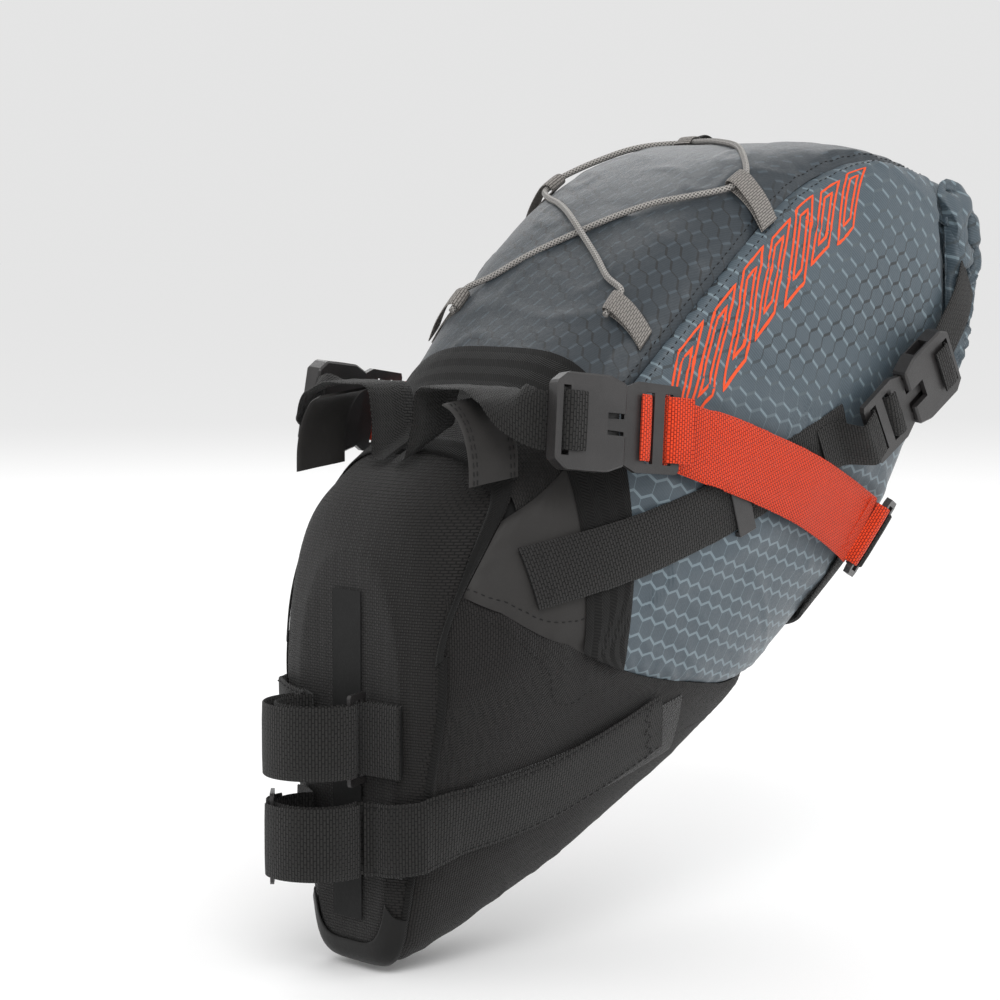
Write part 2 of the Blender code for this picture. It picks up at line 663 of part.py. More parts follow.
def tail(name, hand, path, z_start, mat):
    """Strap tail from the post along the bag's side, ready to peel off."""
    line = arc(OUTER_R, hand * 68, hand * 68, z_start, 1)[:1]
    line += [Vector((15.5, hand * 28.5, z_start + 0.8)), Vector((22, hand * 40, z_start + 3))]
    line += [on_side(x, z, hand, STRAP[0] + 1.2) for x, z in path]
    line = resample(line, 6.0)
    ups = []
    for i, p in enumerate(line):
        way = (line[min(i + 1, len(line) - 1)] - line[max(i - 1, 0)]).normalized()
        normal = TREE.find_nearest(p)[1] * OUT_SIGN
        up = normal.cross(way).normalized()
        up = up if up.z > 0 else -up
        ups.append(UP.lerp(up, smooth((i - 2) / 6)).normalized())
        if i > 1:
            line[i] = clear_strip(p, ups[i], WEB / 2, STRAP[0] + 1.0 + max(0, 30 - p.x) * 0.12)
    ribbon(name, line, ups, WEB, WEB_T, mat)


# ---------------------------------------------------------------- saddle rails
RAIL_X = 54.0            # middle of the rail straps
RAIL_Z = 14.0            # height of the rails there


def rail_straps(hand, tag, black, rubbery):
    """Webbing from the buckle over the saddle rail to the bag, and its stiff flap."""
    top = RAIL_Z + RAIL_SPACE / 2 + WEB_T / 2 + 1.0
    socket = release_frame(hand)
    down = socket.to_3x3() @ Vector((0, -hand, 0))
    bends = [(socket @ Vector(p), 0.0) for p in ((-20, 0, 9.3), (-27, 0, 9.3), (-28.75, 0, 7.6),
                                                 (-28.75, 0, 0.6), (-30.5, 0, -1.3))]
    bends += [(socket @ Vector((-36, 0, -1.9)), 0.0), (Vector((50, hand * 66, 13.5)), 0.4),
              (Vector((50.5, hand * 55, 18.2)), 0.85)]
    bends += [(Vector((52, hand * y, top)), 1.0) for y in (44, 34, 26, 19)]
    bends += [(Vector((52, hand * 15.0, top - 3)), 1.0), (Vector((52, hand * 13.5, 11)), 1.0),
              (Vector((52, hand * 12.6, 4.5)), 1.2), (on_top(52, hand * 9.5, 6.6), 2.0),
              (on_top(52, hand * 3, 5.6), 2.0)]
    slope = top_way(52, hand * 6)
    ups = [(down * (1 - turn) + Vector((turn, 0, 0))).normalized() if turn <= 1 else
           Vector((1, 0, 0)).lerp(slope, turn - 1) for _, turn in bends]
    ribbon(f"rail_strap_{tag}", [p for p, _ in bends], ups, WEB - 6, WEB_T, black)
    shape = [(55, -17), (54.5, -6), (51, 5), (45, 12.6), (39, 15.4)]
    stations = (34, 44, 52, 60)
    inner = [[Vector((x, hand * y, z + (x - 44) * 0.12)) for x in stations] for y, z in shape]
    outer = [[p + Vector((0, hand * 1.0, 0.8)) for p in row] for row in inner]
    closed_grid(f"rail_flap_{tag}", inner, outer, rubbery)


def collar_tape(mat):
    """Grosgrain over the front panel's upper edge."""
    limit = math.radians(78)
    skin("collar_tape",
         lambda v: (front_edge(abs(limit * (2 * v - 1))) - 0.42,
                    front_edge(abs(limit * (2 * v - 1))) - 0.08),
         lambda s: (-limit, limit), PATCH, mat, (3, 36))


# ---------------------------------------------------------------- bungee on the top panel
LOOPS = {"front": (124.0, 64.0), "middle": (188.0, 72.0)}
LOOP_REACH = 17.0        # from the seam to the cord
LOOP_WIDE = 10.0
CORD_UP = 5.4            # cord's height above the surface inside a loop


def cord_loops(hand, tag, web):
    for which, (x, y) in LOOPS.items():
        path = [on_top(x, hand * (y - t), 3.1) for t in (0, 5, 10, 15)]
        middle = on_top(x, hand * (y - LOOP_REACH), CORD_UP)
        up = on_top(x, hand * (y - LOOP_REACH), CORD_UP + 1) - middle
        wide = top_way(x, hand * (y - LOOP_REACH / 2))
        inward = up.cross(wide).normalized()
        if inward.y * hand > 0:
            inward = -inward
        for step in range(1, 6):
            f = math.pi * step / 6
            path.append(middle + inward * 2.5 * math.sin(f) - up * 2.5 * math.cos(f))
        path += [on_top(x, hand * (y - t), 4.7 + 3.4 * t / 15) for t in (15, 10, 5, 0)]
        ribbon(f"cord_loop_{which}_{tag}", path, wide, LOOP_WIDE, 0.9, web)


def inside_loop(which, hand):
    """Three points of a cord that runs straight through a loop, front to rear."""
    x, y = LOOPS[which]
    wide = top_way(x, hand * (y - LOOP_REACH / 2))
    middle = on_top(x, hand * (y - LOOP_REACH), CORD_UP)
    return [middle - wide * 7, middle, middle + wide * 7]


def across_top(start, end, count, height=3.9, lift=0.0):
    """Points on the top panel from one x, y to another; lift raises the middle."""
    out = []
    for i in range(1, count):
        t = i / count
        x, y = (start[k] + (end[k] - start[k]) * t for k in (0, 1))
        out.append(on_top(x, y, height + lift * math.sin(math.pi * t) ** 8))
    return out


def bungee(grey):
    """Two elastic cords that cross on the top panel; one hooks the other."""
    front_r, front_l = inside_loop("front", 1), inside_loop("front", -1)
    mid_r, mid_l = inside_loop("middle", 1), inside_loop("middle", -1)
    hook = [on_top(210, -36, 3.9), on_top(222, -12, 3.9), on_top(232, 10, 3.9),
            on_top(236, 20, 3.9)]
    left = front_r + across_top(front_r[2].xy, mid_l[0].xy, 8) + mid_l + hook
    cord("bungee_left", left, grey)
    right = front_l + across_top(front_l[2].xy, mid_r[0].xy, 8, lift=4.0) + mid_r \
        + across_top(mid_r[2].xy, (277, 4), 6)
    cord("bungee_right", right, grey)


def post_pad(mat):
    """Flat grip pad between the front panel and the seatpost."""
    made = bmesh.new()
    box(made, (POST_R + 0.3, -9, -198), (POST_R + 0.7, 9, -62))
    finish("post_pad", made, mat)


def light_loop(mat):
    """Webbing loop for a rear light, standing in front of the roll."""
    line = [on_top(250, 43, 3.3), on_top(256, 43.5, 6), on_top(262, 44, 12),
            on_top(268, 44.5, 13.5), on_top(274, 45, 10), on_top(279, 45.5, 3.8)]
    wide = (on_top(264, 52, 3) - on_top(264, 36, 3)).normalized()
    ribbon("light_loop", resample(line, 5), wide, 14, WEB_T, mat)


# ---------------------------------------------------------------- build
def build():
    clear_scene()
    hex_fabric = material("hex_ripstop", (0.115, 0.165, 0.2), 0.55)
    dark_fabric = material("dark_ripstop", (0.05, 0.08, 0.1), 0.55)
    ballistic = material("ballistic_nylon", (0.017, 0.015, 0.015), 0.75)
    rubbery = material("coated_grey", (0.07, 0.066, 0.063), 0.6)
    tape = material("herringbone_tape", (0.014, 0.013, 0.013), 0.8)
    smooth_black = material("coated_black", (0.012, 0.011, 0.011), 0.55)
    black_web = material("black_webbing", (0.015, 0.014, 0.014), 0.75)
    orange_web = material("orange_webbing", (0.8, 0.08, 0.02), 0.65)
    plastic = material("acetal", (0.02, 0.02, 0.021), 0.42)
    pile = material("loop_pile", (0.01, 0.01, 0.01), 0.95)
    grey_web = material("grey_webbing", (0.32, 0.3, 0.28), 0.75)
    grey_cord = material("grey_cord", (0.34, 0.32, 0.3), 0.65)
    liner(material("grey_liner", (0.35, 0.35, 0.36), 0.7))
    panels(hex_fabric, dark_fabric, rubbery, ballistic, tape, smooth_black)
    roll_top(hex_fabric)
    for hand, tag in ((-1, "left"), (1, "right")):
        side_straps(hand, tag, orange_web, black_web, plastic)
        rail_straps(hand, tag, black_web, rubbery)
        cord_loops(hand, tag, grey_web)
    collar_tape(tape)
    post_straps(black_web, plastic, pile)
    post_pad(material("grip_rubber", (0.03, 0.03, 0.03), 0.85))
    bungee(grey_cord)
    light_loop(black_web)


build()
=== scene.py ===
"""Looks of a bikepacking saddle bag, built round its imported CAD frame.

Lengths are in millimetres until a mesh is made; meshes are in metres. +X points to the
rear of the bicycle, +Y to its right, and the seatpost's axis is Z.
"""
import math

import bpy
import numpy as np
from mathutils import Matrix, Vector, noise
from mathutils.bvhtree import BVHTree


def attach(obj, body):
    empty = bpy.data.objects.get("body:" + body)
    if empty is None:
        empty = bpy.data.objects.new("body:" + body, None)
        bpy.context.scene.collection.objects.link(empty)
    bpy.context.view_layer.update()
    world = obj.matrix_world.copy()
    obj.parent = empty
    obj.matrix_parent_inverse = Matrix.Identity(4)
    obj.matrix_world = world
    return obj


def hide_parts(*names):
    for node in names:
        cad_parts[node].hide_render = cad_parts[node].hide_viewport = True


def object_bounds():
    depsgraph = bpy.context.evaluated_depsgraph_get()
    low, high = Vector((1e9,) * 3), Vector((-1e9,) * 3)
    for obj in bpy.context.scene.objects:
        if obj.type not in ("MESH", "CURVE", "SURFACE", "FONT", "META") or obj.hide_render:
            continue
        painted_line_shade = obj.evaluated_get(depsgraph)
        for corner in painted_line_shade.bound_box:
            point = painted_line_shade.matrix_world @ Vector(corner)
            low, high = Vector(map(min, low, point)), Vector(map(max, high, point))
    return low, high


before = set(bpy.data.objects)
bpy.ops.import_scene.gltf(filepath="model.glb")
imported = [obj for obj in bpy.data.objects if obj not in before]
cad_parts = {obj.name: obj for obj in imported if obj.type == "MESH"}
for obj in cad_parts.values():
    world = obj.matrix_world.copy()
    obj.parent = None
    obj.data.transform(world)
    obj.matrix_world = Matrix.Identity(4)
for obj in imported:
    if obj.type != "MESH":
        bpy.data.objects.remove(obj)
cad_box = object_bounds()

MM = 0.001
POST_R = 15.45
WEB = 30.0
NARROW_WEB = 25.0
WEB_T = 1.3
UPPER_Z = -121.0
LOWER_Z = -162.0
UP = Vector((0, 0, 1))
SEAM = math.radians(50)
INNER_R = POST_R + 1.2
OUTER_R = POST_R + 6.2
LOWER_RING, UPPER_RING, RING_REACH = 140.0, -66.0, 20.0
RELEASE_AT = (91.0, 80.5, 5.5)
RELEASE_WAY = (1.0, 0.2, -0.115)
CINCH_SPOT = (257.0, 13.0, 245.0, 4.5)
ORANGE_PATH = [(138, -5), (150, -8), (200, -25), (246, -44)]
CINCH_PATH = [(58, -56), (100, -46), (150, -31), (200, -12), (226, -1)]
ROLL_SIDE = [(299.0, 14), (300.0, 56), (298.0, 88), (293.5, 101), (299, 106.5), (309, 104),
             (318, 92), (322, 74), (318, 50), (309, 22)]
SIDES = ((-1, "left"), (1, "right"))
ANGLE_SIDES = ((1, "left"), (-1, "right"))   # signs of the angle round a ring, not of y

# Rings of the stuffed form: low x, z; high x, z; half-width low, high; squareness.
RINGS = [
    (18.5, -122, 18.5, -118, 1.5, 1.5, 2.0, 2.0),
    (18.5, -206, 18.5, -48, 22, 33, 2.6, 5.0),
    (24.0, -215, 28.0, -25, 28, 50, 3.0, 5.5),
    (48.0, -208, 46.0, -13, 37, 61, 3.2, 4.2),
    (78.0, -196, 74.0, 4, 46, 69, 3.4, 3.3),
    (122.0, -176, 112.0, 44, 57, 77, 3.6, 2.8),
    (183.0, -141, 160.0, 90, 66, 82, 3.8, 2.6),
    (240.0, -96, 206.0, 117, 73, 84, 3.8, 2.6),
    (278.0, -55, 250.0, 121, 77, 84, 3.6, 2.6),
    (296.0, 0, 286.0, 111, 80, 82, 3.0, 2.6),
    (297.0, 58, 296.0, 62, 2.0, 2.0, 2.0, 2.0),
]
LAST = len(RINGS) - 1


# ---------------------------------------------------------------- the stuffed form
def smooth(t):
    t = min(max(t, 0.0), 1.0)
    return t * t * (3 - 2 * t)


def ring_values(s):
    """Ring values at s, on a curve through the rings (Catmull-Rom)."""
    s = min(max(s, 0.0), LAST)
    i = min(int(s), LAST - 1)
    t = s - i
    p = [np.array(RINGS[min(max(k, 0), LAST)], float) for k in (i - 1, i, i + 1, i + 2)]
    m1 = (p[2] - p[0]) * (0.5 if i > 0 else 1.0)
    m2 = (p[3] - p[1]) * (0.5 if i < LAST - 1 else 1.0)
    if i == 0 or i == LAST - 1:
        return p[1] + (p[2] - p[1]) * t
    if i == 1:
        m1 = p[2] - p[1]
    if i == LAST - 2:
        m2 = (p[2] - p[1]) * 0.3
    h = (2 * t**3 - 3 * t**2 + 1, t**3 - 2 * t**2 + t, -2 * t**3 + 3 * t**2, t**3 - t**2)
    return h[0] * p[1] + h[1] * m1 + h[2] * p[2] + h[3] * m2


def surface(s, a):
    """Point on the form at ring s and angle a, which is 0 at the top and pi below."""
    xl, zl, xh, zh, wl, wh, square, square_low = ring_values(s)
    c, d = math.cos(a), math.sin(a)
    n = square if c > 0 else square_low
    v = math.copysign(abs(c) ** (2 / n), c)
    side = math.copysign(abs(d) ** (2 / n), d)
    h = (1 + v) / 2
    width = wl + (wh - wl) * smooth((h - 0.05) / 0.6)
    return Vector((xl + (xh - xl) * h, -side * width, zl + (zh - zl) * h))


def cloth_form(s, a):
    """The form with its rear upper corners drawn out square, where the cloth is folded."""
    w = smooth((s - 7.2) / 1.5)
    if w == 0 or math.cos(a) <= 0:
        return surface(s, a)
    xl, zl, xh, zh, wl, wh, square, _ = ring_values(s)
    n = square + (9.0 - square) * w
    v = math.cos(a) ** (2 / n)
    side = math.copysign(abs(math.sin(a)) ** (2 / n), math.sin(a))
    h = (1 + v) / 2
    width = wl + (wh - wl) * smooth((h - 0.05) / 0.6)
    return Vector((xl + (xh - xl) * h, -side * width, zl + (zh - zl) * h))


def seam_at(s):
    """Angle of the seam between top and side, which rises to the corner at the rear."""
    return SEAM - math.radians(13) * smooth((s - 5.6) / 2.6)


def outward(s, a):
    step = 0.04
    s = min(max(s, 0.3), LAST - 1.05)
    along = surface(s + step, a) - surface(s - step, a)
    around = surface(s, a + step) - surface(s, a - step)
    return along.cross(around).normalized() * -1.0


def ring_faces(bands, turns):
    """Quads between closed rings of points, turns points to a ring."""
    return [(r * turns + k, r * turns + (k + 1) % turns, (r + 1) * turns + (k + 1) % turns,
             (r + 1) * turns + k) for r in range(bands) for k in range(turns)]


def form_tree():
    turns, steps = 144, 140
    points = [surface(0.2 + (LAST - 0.4) * i / steps, 2 * math.pi * k / turns)
              for i in range(steps + 1) for k in range(turns)]
    faces = ring_faces(steps, turns)
    return BVHTree.FromPolygons(points, faces)


TREE = form_tree()
OUT_SIGN = 1 if TREE.ray_cast(Vector((200, 0, 400)), Vector((0, 0, -1)))[1].z > 0 else -1


def clear_strip(point, up, half, gap):
    """The middle of a strip, pushed out until its whole width clears the form."""
    for _ in range(25):
        _, normal, _, _ = TREE.find_nearest(point)
        worst = gap
        for t in (-1, -0.5, 0, 0.5, 1):
            q = point + up * half * t
            at, face, _, _ = TREE.find_nearest(q)
            worst = min(worst, (q - at).dot(face * OUT_SIGN))
        if worst > gap - 0.03:
            break
        point = point + normal * OUT_SIGN * (gap - worst)
    return point


def on_side(x, z, hand, height):
    hit, normal, _, _ = TREE.ray_cast(Vector((x, hand * 200, z)), Vector((0, -hand, 0)))
    if hit is None:
        hit, normal, _, _ = TREE.find_nearest(Vector((x, hand * 60, z)))
    return hit + (normal if normal.y * hand > 0 else -normal) * height


def on_top(x, y, height):
    hit, normal, _, _ = TREE.ray_cast(Vector((x, y, 400)), Vector((0, 0, -1)))
    return hit + (normal if normal.z > 0 else -normal) * height


def resample(points, step):
    """Points about step apart on a smooth curve through the given points."""
    out = []
    for i in range(len(points) - 1):
        p = [points[max(i - 1, 0)], points[i], points[i + 1],
             points[min(i + 2, len(points) - 1)]]
        count = max(1, round((p[2] - p[1]).length / step))
        for k in range(count):
            t = k / count
            m1, m2 = (p[2] - p[0]) / 2, (p[3] - p[1]) / 2
            out.append((2 * t**3 - 3 * t**2 + 1) * p[1] + (t**3 - 2 * t**2 + t) * m1
                       + (-2 * t**3 + 3 * t**2) * p[2] + (t**3 - t**2) * m2)
    out.append(points[-1].copy())
    return out


def way_at(line, i):
    """Direction of a line at its point i, from the points on either side."""
    return (line[min(i + 1, len(line) - 1)] - line[max(i - 1, 0)]).normalized()


def front_edge(a):
    return 2.0 + 1.7 * smooth((math.radians(80) - a) / math.radians(45))


def hull_edge(s):
    """Angle where the ballistic hull ends, from its height between the ring's low and high."""
    knots = [(2.0, 0.65), (3.0, 0.43), (4.0, 0.13), (5.0, -0.31), (6.0, -0.74), (6.7, -0.988)]
    v = float(np.interp(s, [k for k, _ in knots], [h for _, h in knots]))
    square, square_low = ring_values(s)[6:8]
    n = square if v > 0 else square_low
    return math.acos(math.copysign(abs(v) ** (n / 2), v))


def frame_at(centre, along, out):
    """Matrix whose x runs along, z points out and origin is the centre."""
    along = along.normalized()
    out = (out - along * out.dot(along)).normalized()
    turn = Matrix((along, out.cross(along), out)).transposed().to_4x4()
    return Matrix.Translation(centre) @ turn


def side_frame(x, z, x2, z2, hand, height):
    a = on_side(x, z, hand, height)
    b = on_side(x2, z2, hand, height)
    out = (on_side(x, z, hand, height + 10) - a) + (on_side(x2, z2, hand, height + 10) - b)
    return frame_at(a, b - a, out)


def release_frame(hand):
    x, y, z = RELEASE_AT
    a, b, c = RELEASE_WAY
    return frame_at(Vector((x, hand * y, z)), Vector((a, hand * b, c)),
                    Vector((-0.2, hand, 0.1)))


# ---------------------------------------------------------------- node materials
class Look:
    """A Principled material under construction, with short calls for its nodes."""

    def __init__(self, name, rough=0.6, sheen=0.0, specular=0.5):
        self.mat = bpy.data.materials.new(name)
        self.mat.use_nodes = True
        self.tree = self.mat.node_tree
        self.shader = self.tree.nodes["Principled BSDF"]
        self.shader.inputs["Roughness"].default_value = rough
        self.shader.inputs["Sheen Weight"].default_value = sheen
        self.shader.inputs["Sheen Roughness"].default_value = 0.4
        self.shader.inputs["Specular IOR Level"].default_value = specular

    def node(self, kind, values=(), **settings):
        made = self.tree.nodes.new(kind)
        for key, value in settings.items():
            setattr(made, key, value)
        for key, value in values:
            self.put(made.inputs[key], value)
        return made

    def put(self, socket, value):
        if isinstance(value, bpy.types.NodeSocket):
            self.tree.links.new(value, socket)
        else:
            socket.default_value = value

    def math(self, op, a, b=0.0, c=0.0):
        return self.node("ShaderNodeMath", ((0, a), (1, b), (2, c)), operation=op).outputs[0]

    def vector(self, op, a, b=(0, 0, 0), c=(0, 0, 0), out=0):
        made = self.node("ShaderNodeVectorMath", ((0, a), (1, b), (2, c)), operation=op)
        return made.outputs[out]

    def millimetres(self):
        """The piece's own flat coordinates in millimetres: along, across."""
        flat = self.node("ShaderNodeUVMap", uv_map="cloth").outputs[0]
        return self.vector("MULTIPLY", flat, (100, 100, 0))

    def space(self, scale=1000.0):
        """Object coordinates, in millimetres by default."""
        place = self.node("ShaderNodeTexCoord").outputs["Object"]
        return self.vector("MULTIPLY", place, (scale, scale, scale))

    def noise(self, where, scale, detail=3.0, rough=0.6):
        return self.node("ShaderNodeTexNoise", (("Vector", where), ("Scale", scale),
                         ("Detail", detail), ("Roughness", rough))).outputs["Fac"]

    def mix(self, fac, a, b):
        made = self.node("ShaderNodeMix", ((0, fac), (6, a), (7, b)), data_type="RGBA")
        return made.outputs[2]

    def between(self, value, low, high, to_low=0.0, to_high=1.0):
        return self.node("ShaderNodeMapRange", ((0, value), (1, low), (2, high), (3, to_low),
                         (4, to_high)), interpolation_type="SMOOTHSTEP").outputs[0]

    def split(self, vector):
        made = self.node("ShaderNodeSeparateXYZ", ((0, vector),))
        return made.outputs[0], made.outputs[1]

    def bump(self, height, distance, strength=1.0, over=None):
        made = self.node("ShaderNodeBump", (("Height", height), ("Distance", distance * MM),
                         ("Strength", strength)))
        if over is not None:
            self.put(made.inputs["Normal"], over)
        return made.outputs[0]

    def finish(self, colour, normal=None, rough=None):
        self.put(self.shader.inputs["Base Color"], colour)
        if normal is not None:
            self.put(self.shader.inputs["Normal"], normal)
        if rough is not None:
            self.put(self.shader.inputs["Roughness"], rough)
        return self.mat


def rgb(r, g, b):
    """Linear colour from 0 to 255 display values."""
    def line(v):
        v = v / 255
        return v / 12.92 if v <= 0.04045 else ((v + 0.055) / 1.055) ** 2.4
    return (line(r), line(g), line(b), 1.0)


def ripstop(name, base, light, shade_colour, pitch=8.0):
    """Hexagon ripstop: light lines, with painted shade on the raised threads of two directions above."""
    look = Look(name, 0.5, 0.15)
    flat = look.millimetres()
    p = look.vector("MULTIPLY", flat, (1 / pitch, 1 / pitch, 0))
    cell = (1.0, 1.7320508, 1.0)
    half = tuple(c / 2 for c in cell)
    back = tuple(-c / 2 for c in cell)
    one = look.vector("WRAP", p, half, back)
    other = look.vector("WRAP", look.vector("SUBTRACT", p, half), half, back)
    nearer = look.math("LESS_THAN", look.vector("LENGTH", one, out=1),
                       look.vector("LENGTH", other, out=1))
    g = look.node("ShaderNodeMix", ((0, nearer), (4, other), (5, one)),
                  data_type="VECTOR").outputs[1]
    gx, gy = look.split(g)
    ax, ay = look.math("ABSOLUTE", gx), look.math("ABSOLUTE", gy)
    slanted = look.math("ADD", look.math("MULTIPLY", ax, 0.5), look.math("MULTIPLY", ay, 0.8660254))
    edge = look.math("MAXIMUM", ax, slanted)
    # Painted shade: upright and rising lines turn dark in the upper part, as the shaded sides of raised
    # threads.
    upright = look.math("GREATER_THAN", ax, slanted)
    rising = look.math("LESS_THAN", look.math("MULTIPLY", gx, gy), 0.0)
    shaded_ways = look.math("MAXIMUM", upright, rising)
    place = look.space()
    patch = look.between(look.noise(place, 0.012, 2.0), 0.42, 0.6)
    z = look.node("ShaderNodeSeparateXYZ", ((0, place),)).outputs[2]
    upper = look.between(z, -35.0, 45.0)
    painted_line_shade = look.math("MULTIPLY", shaded_ways, look.math("MULTIPLY", upper, look.math("ADD",
                      look.math("MULTIPLY", patch, 0.4), 0.6)))
    line = look.between(look.math("ADD", edge, look.math("MULTIPLY", painted_line_shade, 0.022)), 0.481, 0.494)
    along, across = look.split(flat)
    diagonal = look.math("ADD", look.math("MULTIPLY", along, 0.5),
                         look.math("MULTIPLY", across, 0.866))
    hatch = look.between(look.math("PINGPONG", diagonal, 0.5), 0.3, 0.48)
    hatched = look.math("MULTIPLY", look.math("MULTIPLY", hatch, look.math("ADD",
                        look.math("MULTIPLY", upper, 0.8), 0.2)), 0.3)
    grain = look.noise(place, 0.9, 4.0, 0.7)
    tone = look.between(look.noise(place, 0.02, 3.0), 0.3, 0.7, 0.0, 0.35)
    cloth = look.mix(tone, base, tuple(c * 0.72 for c in base[:3]) + (1,))
    cloth = look.mix(look.math("MULTIPLY", grain, 0.3), cloth, tuple(c * 0.55 for c in base[:3]) + (1,))
    cloth = look.mix(hatched, cloth, light)
    line_colour = look.mix(painted_line_shade, light, shade_colour)
    colour = look.mix(look.math("MULTIPLY", line, 0.85), cloth, line_colour)
    weave = look.math("MULTIPLY", look.math("SINE", look.math("MULTIPLY", along, 9.0)),
                      look.math("SINE", look.math("MULTIPLY", across, 9.0)))
    fine = look.bump(weave, 0.05, 0.5)
    soft = look.bump(look.noise(place, 0.11, 4.0), 0.9, 0.45, fine)
    raised = look.bump(look.math("ADD", line, hatched), 0.03, 0.5, soft)
    look.shader.inputs["Coat Weight"].default_value = 0.08
    look.shader.inputs["Coat Roughness"].default_value = 0.35
    return look.finish(colour, raised, look.between(grain, 0.2, 0.8, 0.4, 0.6))


def woven(name, colour, light, width, row, mortar, depth, rough=0.7, sheen=0.1):
    """Plain weave of short floats, as in ballistic nylon and webbing, with painted highlight on the floats
    and painted shade between them.
    """
    look = Look(name, rough, sheen, 0.22)
    flat = look.millimetres()
    along, across = look.split(flat)
    turned = look.node("ShaderNodeCombineXYZ", ((0, across), (1, along))).outputs[0]
    wander = look.noise(look.space(), 0.5, 2.0)
    brick = look.node("ShaderNodeTexBrick", (("Vector", turned), ("Scale", 1.0),
                      ("Mortar Size", mortar), ("Mortar Smooth", 1.0), ("Bias", 0.0),
                      ("Brick Width", width), ("Row Height", row),
                      ("Color1", (1, 1, 1, 1)), ("Color2", (0.55, 0.55, 0.55, 1)),
                      ("Mortar", (0.0, 0.0, 0.0, 1))))
    # Painted highlight on the floats, painted shade in the gaps between them.
    shade = look.mix(look.between(brick.outputs["Fac"], 0.0, 1.0), light, colour)
    shade = look.mix(look.math("MULTIPLY", wander, 0.35), shade, tuple(c * 0.6 for c in colour[:3]) + (1,))
    threads = look.math("SINE", look.math("MULTIPLY", across, 22.0))
    height = look.math("ADD", look.math("MULTIPLY", brick.outputs["Fac"], -1.0),
                       look.math("MULTIPLY", threads, 0.12))
    normal = look.bump(height, depth, 0.9)
    normal = look.bump(look.noise(look.space(), 0.09, 3.0), 0.7, 0.3, normal)
    return look.finish(shade, normal)


def herringbone(name, colour, light):
    look = Look(name, 0.75, 0.1, 0.2)
    along, across = look.split(look.millimetres())
    zigzag = look.math("ADD", along, look.math("MULTIPLY", look.math("PINGPONG", across, 4.0), 1.0))
    rib = look.math("ADD", look.math("MULTIPLY", look.math("SINE",
                    look.math("MULTIPLY", zigzag, 4.5)), 0.5), 0.5)
    grain = look.noise(look.space(), 1.2, 3.0)
    # Painted highlight on the rib crests and painted shade in the furrows, following the rib's height.
    shade = look.mix(look.math("MULTIPLY", rib, look.math("ADD", grain, 0.1)), colour, light)
    return look.finish(shade, look.bump(rib, 0.22, 0.9))


def grained(name, colour, light, scale, depth, rough, sheen=0.0, coat=0.0, specular=0.25):
    """Coated cloth, rubber or moulded plastic with a fine grain."""
    look = Look(name, rough, sheen, specular)
    place = look.space()
    grain = look.noise(place, scale, 4.0, 0.7)
    wear = look.between(look.noise(place, 0.05, 3.0), 0.35, 0.75)
    shade = look.mix(look.math("MULTIPLY", grain, 0.6), colour, light)
    shade = look.mix(look.math("MULTIPLY", wear, 0.35), shade, light)
    normal = look.bump(look.noise(place, 0.12, 3.0), 0.6, 0.25)
    normal = look.bump(grain, depth, 0.8, normal)
    look.shader.inputs["Coat Weight"].default_value = coat
    return look.finish(shade, normal, look.between(grain, 0.2, 0.8, rough - 0.08, rough + 0.08))


def pile_look(name):
    look = Look(name, 0.95, 0.35, 0.15)
    place = look.space()
    curls = look.node("ShaderNodeTexVoronoi", (("Vector", place), ("Scale", 1.1))).outputs[0]
    fuzz = look.noise(place, 1.6, 5.0, 0.8)
    shade = look.mix(fuzz, rgb(12, 12, 12), rgb(44, 43, 42))
    return look.finish(shade, look.bump(look.math("ADD", curls, fuzz), 0.8, 1.0))


def braided(name, colour, shade_colour):
    look = Look(name, 0.6, 0.2)
    along, across = look.split(look.millimetres())
    one = look.math("SINE", look.math("MULTIPLY", look.math("ADD", along, across), 3.6))
    two = look.math("SINE", look.math("MULTIPLY", look.math("SUBTRACT", along, across), 3.6))
    height = look.math("MAXIMUM", one, two)
    # Painted shade in the grooves between strands and painted highlight on their crowns, following the
    # braid's height.
    shade = look.mix(look.between(height, -0.3, 0.9), shade_colour, colour)
    return look.finish(shade, look.bump(height, 0.25, 0.9))


# The third colour of each ripstop is the painted shade of its raised threads.
HEX = ripstop("hex_ripstop", rgb(64, 77, 86), rgb(112, 128, 136), rgb(14, 19, 22))
# The top's ripstop is painted darker than the sides' as the saddle's shadow over it.
SADDLE_SHADOW_HEX = ripstop("dark_ripstop", rgb(36, 45, 52), rgb(58, 69, 77), rgb(9, 12, 15))
# The second colour of each weave below is painted highlight on its floats, and the first the painted shade
# between them.
BALLISTIC = woven("ballistic_nylon", rgb(4, 4, 4), rgb(36, 34, 33), 2.4, 1.2, 0.34, 0.35)
WEBBING = woven("black_webbing", rgb(3, 3, 3), rgb(46, 45, 44), 3.0, 1.3, 0.38, 0.45)
ORANGE = woven("orange_webbing", rgb(140, 22, 5), rgb(252, 78, 34), 1.7, 1.15, 0.3, 0.4, 0.6, 0.1)
GREY_WEB = woven("grey_webbing", rgb(80, 77, 74), rgb(158, 153, 148), 3.0, 1.1, 0.25, 0.35)
TAPE = herringbone("herringbone_tape", rgb(5, 5, 5), rgb(30, 29, 28))
RUBBERY = grained("coated_grey", rgb(38, 37, 36), rgb(52, 50, 49), 1.4, 0.12, 0.6, 0.1)
BOOT = grained("coated_black", rgb(9, 9, 9), rgb(22, 21, 20), 0.8, 0.1, 0.5, 0.1)
ACETAL = grained("acetal", rgb(22, 21, 21), rgb(62, 60, 60), 2.2, 0.14, 0.36, 0.0, 0.1, 0.5)
